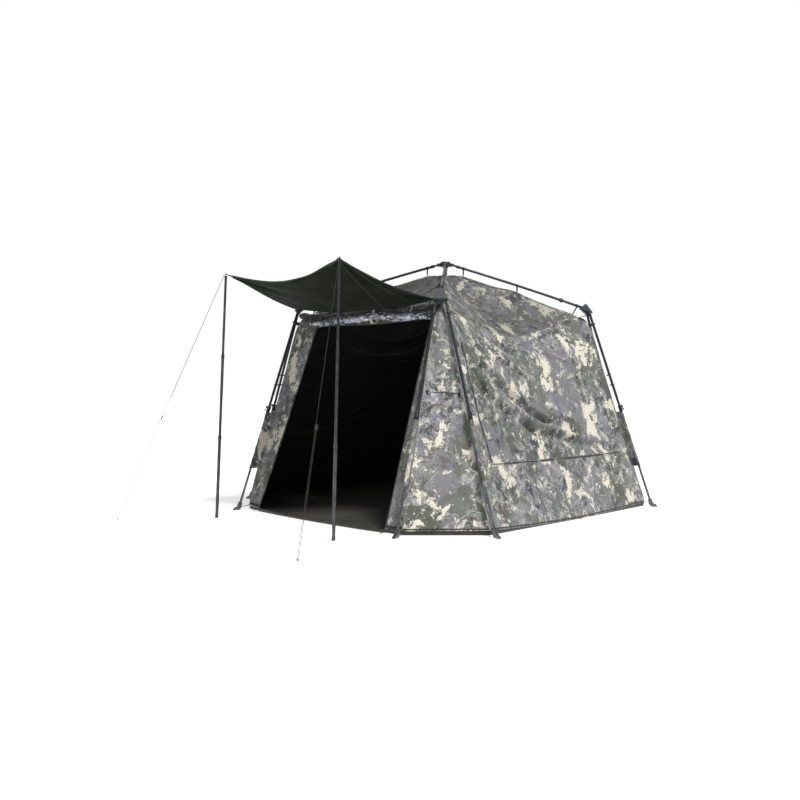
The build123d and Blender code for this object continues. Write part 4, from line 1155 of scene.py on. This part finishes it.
SECTORS = 12
SECTOR_COLUMNS = 48
rim_line = evenly(HEM_LOOP, SECTORS * SECTOR_COLUMNS + 1)
ahead = np.gradient(rim_line, axis=0)
ahead[0] = ahead[-1] = ahead[0] + ahead[-1]
into = np.stack([-ahead[:, 1], ahead[:, 0], 0 * ahead[:, 0]], axis=1)
into /= np.linalg.norm(into, axis=1, keepdims=True)
FLOOR_LIFT = 0.0024
# The rim stands up inside the hem, and the rest is drawn in towards the middle
rings = [
    rim_line + into * 0.0045 + np.array([0, 0, 0.006]),
    (rim_line + into * 0.0055) * FLAT + rim_line * np.array([0, 0, 0.55]) + np.array([0, 0, 0.002]),
    (rim_line + into * 0.012) * FLAT + np.array([0, 0, FLOOR_LIFT]),
]
for share in (0.975, 0.955, 0.935, 0.91, 0.885, 0.86, 0.83, 0.80, 0.77, 0.73, 0.69, 0.64, 0.58,
              0.51, 0.43, 0.34, 0.24, 0.14, 0.05):
    rings.append(rings[2] * np.array([share, share, 1]))
ground = Cloth("groundsheet", rings, len(rim_line), len(rings), (0, 0, 1))
inside = np.zeros(len(rings))
inside[3:] = np.clip(np.arange(len(rings) - 3) / 3, 0, 1)
swell = 0.010 * np.clip(ripple(ground.grid, 0.55, 101, stretch=(1.6, 0.7, 0)) - 0.35, 0, 1)
swell += 0.004 * np.clip(ripple(ground.grid, 0.16, 102, stretch=(1.2, 1, 0)), 0, 1)
ground.grid[..., 2] += swell * inside[:, None]
ground.known_normals = None
for number in range(SECTORS):
    columns = (number * SECTOR_COLUMNS, (number + 1) * SECTOR_COLUMNS)
    piece = ground.piece(f"groundsheet_{number}", GROUND, columns, GROUND)
    middle = ground.grid[0, columns[0] + SECTOR_COLUMNS // 2] * FLAT
    gather_to_middle(middle).take(piece, "cloth_ground", "groundsheet")
    across = length_of(ground.grid[0, columns[0]:columns[1] + 1])

threshold = np.array([p for p in evenly(HEM_LOOP, 1200)[:160:4] if p[0] < 0.73])
threshold = threshold + np.array([0, 0.005, 0.007])
for number, stretch in enumerate(np.array_split(np.arange(len(threshold) - 1), 3)):
    line = threshold[stretch[0]:stretch[-1] + 2]
    binding = wrapped_tube(f"threshold_binding_{number}", line, 0.009, BINDING, 8, 0.35, (0, 0.3, 1))
    gather_to_middle(line.mean(axis=0)).take(binding, "cloth_ground")


# ------------------------------------------------------------------ awning
awning_rear = [(-0.800, -1.000, 1.694), (-0.40, -0.985, 1.655), (0, -0.975, 1.645),
               (0.40, -0.985, 1.645), (0.800, -1.000, 1.688)]
awning_front = [(-0.667, -1.836, 1.918), (-0.333, -1.806, 1.852), (0, -1.792, 1.829),
                (0.333, -1.806, 1.857), (0.667, -1.836, 1.918)]
awning_rows = []
for share in (0.0, 0.25, 0.5, 0.75, 1.0):
    row = [np.array(a) * (1 - share) + np.array(b) * share for a, b in zip(awning_rear, awning_front)]
    bow = math.sin(math.pi * share)
    for point, hollow in zip(row, (0.0, 0.7, 1.0, 0.7, 0.0)):
        point[2] -= 0.020 * bow * hollow
    row[0][0] += 0.022 * bow
    row[-1][0] -= 0.022 * bow
    awning_rows.append(row)
awning = Cloth("awning", awning_rows, 81, 57, (0, -0.2, 1))
u, v = awning.shares()
awning_held = np.clip(1 - v / 0.02, 0, 1)
for tip in (0, 1):
    gap = np.hypot((u - tip) * awning.size[0], (v - 1) * awning.size[1])
    awning_held = np.maximum(awning_held, np.clip(1.4 - gap / 0.04, 0, 1))
away = np.clip(np.minimum(np.hypot(u, v - 1), np.hypot(u - 1, v - 1)) / 0.05, 0, 1)
for tip in (0, 1):
    awning.push(away * awning.fan((tip, 1.0), 0.5, 11, 0.016, 131 + tip))
    awning.push(np.clip(v / 0.1, 0, 1) * awning.fan((tip, 0.0), 0.35, 6, 0.007, 141 + tip))
awning.push(np.clip(v / 0.1, 0, 1) * away * 0.004 * ripple(awning.grid, 0.24, 151))
settle(awning, awning_held, 40, 0.030)
AWNING = Hold("base", "hub_drop", (0, 1, 0), (0, -1.838, 1.9), 0.10)
piece = awning.piece("awning_sheet", OLIVE, lining=OLIVE)
AWNING.take(piece, "cloth_olive", "awning")
for name, path in (
    ("front", [(u, 0.995) for u in (0.0, 0.25, 0.5, 0.75, 1.0)]),
    ("left", [(0.006, v) for v in (0.0, 0.5, 1.0)]),
    ("right", [(0.994, v) for v in (0.0, 0.5, 1.0)]),
):
    for face, lift in (("over", 0.0), ("under", -0.0032)):
        ribbon(awning, f"awning_{name}_{face}", path, 0.018, 0.0014, WEBBING, [AWNING], "webbing", lift=lift)
for tip, way in ((0.0, 1), (1.0, -1)):
    for number, end in enumerate((0.34, 0.12)):
        path = [(tip + way * 0.01, 0.985), (tip + way * end * 0.5, 0.5), (tip + way * end, 0.01)]
        for face, lift in (("over", 0.0), ("under", -0.0030)):
            ribbon(awning, f"awning_seam_{int(tip)}_{number}_{face}", path, 0.010, 0.0012, OLIVE_SEAM,
                   [AWNING], "cloth_olive", lift=lift)
for sx in (-1, 1):
    tip = np.array([sx * 0.667, -1.836, 1.918])
    inward = unit(np.array([-sx * 0.62, 0.78, -0.20]))
    reach = [tip - inward * 0.014, tip + inward * 0.02, tip + inward * 0.055, tip + inward * 0.085]
    patch = wrapped_tube(f"awning_tip_{'left' if sx < 0 else 'right'}", reach, 0.024, WEBBING, 10, 0.12,
                         (0, 0, 1), [0.45, 0.85, 1.0, 1.25])
    AWNING.take(patch, "webbing")


# ------------------------------------------------------------------ guy lines
GUY_PEG = np.array([1.104, -2.552, 0.014])
POLE_TOP = np.array([0.677, -1.838, 1.919])
GUY_GAP = 0.009                       # between the two strands below the tensioner
TENSIONER_SHARE = 0.41                # of the way from the peg up to the pole's top
for side, sx in (("left", -1), ("right", 1)):
    peg, top = GUY_PEG * np.array([sx, 1, 1]), POLE_TOP * np.array([sx, 1, 1])
    down = unit(peg - top)
    across = unit(np.cross(down, (0, 0, 1)))
    start = top + unit(down * FLAT) * 0.012
    near, far = peg + across * GUY_GAP / 2, peg - across * GUY_GAP / 2
    strand = unit(near - start)
    end = far - strand * np.linalg.norm(near - start) * TENSIONER_SHARE
    curve = bpy.data.curves.new(f"guy_cord_{side}", "CURVE")
    curve.dimensions = "3D"
    curve.bevel_depth = 0.00175
    curve.bevel_resolution = 3
    curve.resolution_u = 24
    spline = curve.splines.new("NURBS")
    line = [start, near - strand * 0.021, near, far, far - strand * 0.021, end]
    spline.points.add(len(line) - 1)
    for point, place in zip(spline.points, line):
        point.co = (*place, 1)
    spline.order_u = 3
    spline.use_endpoint_u = True
    curve.materials.append(CORD)
    cord = placed(f"guy_cord_{side}", curve)
    BASE.take(cord, "cord", f"guy_line_{side}")
    angle = np.linspace(0, 2 * math.pi, 19)
    noose = top + np.stack([np.cos(angle) * 0.006, np.sin(angle) * 0.006, 0 * angle + 0.004], axis=1)
    BASE.take(wrapped_tube(f"guy_noose_{side}", noose, 0.002, CORD, 8), "cord")


# ------------------------------------------------------------------ cloth held to the frame
def strap(name, line, width, thickness, material, hold, slot, up=(0, 0, 1), taper=None):
    made = wrapped_tube(name, smooth_line(line, max(len(line) * 5, 8)), width / 2, material, 10,
                        thickness / width, up, taper)
    return hold.take(made, slot)


def panel_edge(leg, height):
    """Point on the edge of the cloth beside a leg."""
    top, low = shoulder(*leg.corner, leg.kind), hem_corner(*leg.corner, leg.kind)
    return top + (low - top) * (top[2] - height) / (top[2] - low[2])


def leg_sleeve(leg):
    """Flap of the panel that wraps round the lower leg."""
    outlines = []
    turns = np.radians(np.linspace(50, 310, 15))
    for step, share in enumerate(np.linspace(0.53, 0.815, 26)):
        centre = leg.at(share * leg.length)
        edge = panel_edge(leg, centre[2])
        reach = np.linalg.norm(edge - centre)
        way = (edge - centre) / reach
        side = np.cross(leg.down, way)
        loose = 0.0135 + 0.0016 * math.sin(step * 1.3) + 0.0012 * math.sin(step * 0.55 + 1)
        flat_part = [(reach + 0.003, 0.0010), (reach * 0.72, 0.0022), (reach * 0.48, 0.0045),
                     (loose * 1.15, loose * 0.72)]
        ring_part = [(math.cos(t) * loose, math.sin(t) * loose) for t in turns]
        shape = flat_part + ring_part + [(x, -y) for x, y in reversed(flat_part)]
        outlines.append([centre + way * x + side * y for x, y in shape])
    made = skin_over_rings(f"leg_sleeve_{leg.name}", np.array(outlines), CAMO, flat_ends=True)
    Hold(leg.upper, f"leg_slide_{leg.name}", leg.down, leg.at(0.53 * leg.length), 0.3).take(made, "cloth_camo")


for leg in LEGS.values():
    leg_sleeve(leg)
    # Two hooks round the upper leg, a cuff at the shoulder, and a strap down to the foot
    upper = Hold(leg.upper)
    for number, share in enumerate((0.334, 0.386)):
        centre = leg.at(share * leg.length)
        edge = panel_edge(leg, centre[2] - 0.006)
        way = unit(edge - centre)
        side = np.cross(leg.down, way)
        round_leg, _ = ring_round(centre, way, side, 0.0135)
        hook = wrapped_tube(f"leg_hook_{leg.name}_{number}", round_leg, 0.0035, PLASTIC, 8, 1.0, leg.down)
        upper.take(hook, "plastic_black")
        knob = [centre + way * 0.012, centre + way * 0.018, centre + way * 0.026]
        strap(f"leg_knob_{leg.name}_{number}", knob, 0.013, 0.013, PLASTIC, upper, "plastic_black",
              up=side, taper=[0.8] * 5 + [1.0] * 5 + [0.6] * 5)
    held_point = shoulder(*leg.corner, leg.kind)
    nearest = leg.pin + leg.down * ((held_point - leg.pin) @ leg.down)
    way = unit(held_point - nearest)
    side = np.cross(leg.down, way)
    line, off_leg = ring_round(nearest, way, side, 0.0148)
    cuff = wrapped_tube(f"shoulder_cuff_{leg.name}", line, 0.009, PLASTIC, 8, 0.35, off_leg)
    upper.take(cuff, "plastic_black")
    line = [nearest + way * 0.013, (nearest + held_point) / 2, held_point + way * 0.012,
            held_point + way * 0.03 - np.array([0, 0, 0.015])]
    strap(f"shoulder_tab_{leg.name}", line, 0.026, 0.003, WEBBING, upper, "webbing", up=side)
    hem = panel_edge(leg, 0.036)
    foot = leg.ankle + np.array([0, 0, -0.016])
    out = unit((foot - hem) * FLAT)
    line = [hem - out * 0.020 + np.array([0, 0, 0.006]), hem,
            (hem + foot) / 2 - np.array([0, 0, 0.004]), foot - out * 0.010]
    strap(f"foot_strap_{leg.name}", line, 0.022, 0.0026, WEBBING, Hold(leg.lower), "webbing")

# Loops that hang the roof from the arms, and straps that pull the corner panels up to the knuckles
for corner, (sx, sy) in CORNERS.items():
    arm = Hold(f"arm_{corner}")
    out = outward(sx, sy)
    slope_way = unit(ridge(sx, sy, *EAVE) - ridge(sx, sy, 0.64, 1.858))
    for number, (radius, cloth_height, foot_height) in enumerate(
        ((0.160, 1.998, 2.014), (0.641, 1.862, 1.872), (1.150, 1.670, 1.684)),
    ):
        low, high = ridge(sx, sy, radius, cloth_height), ridge(sx, sy, radius, foot_height)
        line = [low - np.array([0, 0, 0.004]), (low + high) / 2, high]
        strap(f"clip_loop_{corner}_{number}", line, 0.016, 0.0024, WEBBING, arm, "webbing", up=out)
        patch = [low + slope_way * d + np.array([0, 0, 0.0025]) for d in (-0.034, -0.017, 0.0, 0.017, 0.034)]
        strap(f"clip_patch_{corner}_{number}", patch, 0.020, 0.0022, WEBBING, arm, "webbing")
    hold = corner_holds[corner]
    cloth = corner_cloths[corner]
    for number, (across_share, sideways) in enumerate(((0.28, 0.014), (0.72, -0.014))):
        high = ridge(sx, sy, 1.290, 1.662) + towards_end(sx, sy) * sideways
        line = [cloth.at(across_share, v, lift) for v, lift in ((0.34, 0.003), (0.22, 0.004), (0.12, 0.006))]
        line.append(high)
        strap(f"corner_strap_{corner}_{number}", line, 0.016, 0.0022, GREY_WEBBING, hold, "webbing", up=out)

apex_line = [(0, 0, 2.002), (0, 0, 2.018), (0, 0, 2.034)]
strap("apex_strap", apex_line, 0.018, 0.003, WEBBING, Hold("hub"), "webbing", up=(0, 1, 0))

for number, (x, y, out) in enumerate((
    (0.747, -1.500, (0, -1, 0)), (-0.800, -1.470, (0, -1, 0)), (1.385, 0.02, (1, 0, 0)),
    (-1.385, 0.02, (-1, 0, 0)), (0.0, 1.500, (0, 1, 0)),
)):
    out = np.array(out, float)
    side = np.cross(out, (0, 0, 1))
    place = np.array([x, y, 0.010])
    line = [place + side * 0.006, place + side * 0.007 + out * 0.012 - np.array([0, 0, 0.004]),
            place + out * 0.026 - np.array([0, 0, 0.006]),
            place - side * 0.007 + out * 0.012 - np.array([0, 0, 0.004]), place - side * 0.006]
    strap(f"hem_loop_{number}", line, 0.0045, 0.0025, WEBBING, gather_to_middle(line[0]), "webbing")


# ------------------------------------------------------------------ ties round the rolled doors
def tie_outline(x, inflate):
    """Loop round both rolls, in the plane across them."""
    between = MESH_ROLL - DOOR_ROLL
    length = np.linalg.norm(between)
    along, square = between / length, np.array([-between[1], between[0]]) / length
    points = []
    for angle in np.linspace(0, 2 * math.pi, 45):
        centre = DOOR_ROLL if math.cos(angle) < 0 else MESH_ROLL
        sink = -0.010 * np.array([0, math.cos(x * 5.1 + 6)])
        y, z = centre + sink + along * math.cos(angle) * inflate + square * math.sin(angle) * inflate
        points.append((x, y, z))
    return np.array(points)


for number, (x, material, width) in enumerate((
    (-0.605, WEBBING, 0.016), (-0.270, WEBBING, 0.014), (0.128, PALE_WEBBING, 0.030),
    (0.556, PALE_WEBBING, 0.010), (0.735, WEBBING, 0.018),
)):
    hold = door_holds["left" if x < 0 else "right"]
    line = tie_outline(x, 0.0345)
    band = wrapped_tube(f"roll_tie_{number}", line, width / 2, material, 8, 0.0024 / width,
                        np.cross(np.gradient(line, axis=0), (1, 0, 0)))
    hold.take(band, "webbing", "roll_ties")
    toggle = [(x - 0.014, -1.026, 1.600), (x, -1.029, 1.601), (x + 0.014, -1.026, 1.600)]
    strap(f"roll_toggle_{number}", toggle, 0.009, 0.009, PLASTIC, hold, "plastic_black",
          taper=[0.7] * 3 + [1.0] * 9 + [0.7] * 3)
    if material is PALE_WEBBING:
        continue
    tail = [(x, -1.026, 1.598), (x + 0.004, -1.032, 1.575), (x + 0.010, -1.030, 1.545)]
    strap(f"roll_tail_{number}", tail, width * 0.8, 0.002, material, hold, "webbing", up=(0, -1, 0))

# A loose flap of the rolled door, hanging at the left end
flap_rows = [
    [(-0.795, -0.985, 1.560), (-0.70, -0.995, 1.556), (-0.60, -1.000, 1.552), (-0.47, -1.002, 1.548)],
    [(-0.800, -0.990, 1.530), (-0.72, -1.004, 1.515), (-0.64, -1.008, 1.520), (-0.54, -1.005, 1.535)],
    [(-0.806, -0.995, 1.500), (-0.75, -1.002, 1.470), (-0.68, -1.006, 1.478), (-0.62, -1.004, 1.520)],
]
flap = Cloth("door_flap", flap_rows, 30, 18, (0, -1, 0), (1, 0, 2))
flap.push(flap.rim(0.05, only_top=True) * 0.006 * ripple(flap.grid, 0.12, 171))
piece = flap.piece("door_flap", CAMO)
door_holds["left"].take(piece, "cloth_camo")
hanger = [(-0.665, -0.985, 1.545), (-0.668, -0.99, 1.47), (-0.680, -0.995, 1.38), (-0.684, -1.0, 1.30)]
strap("door_hanger", hanger, 0.012, 0.002, GREY_WEBBING, door_holds["left"], "webbing", up=(0, -1, 0))
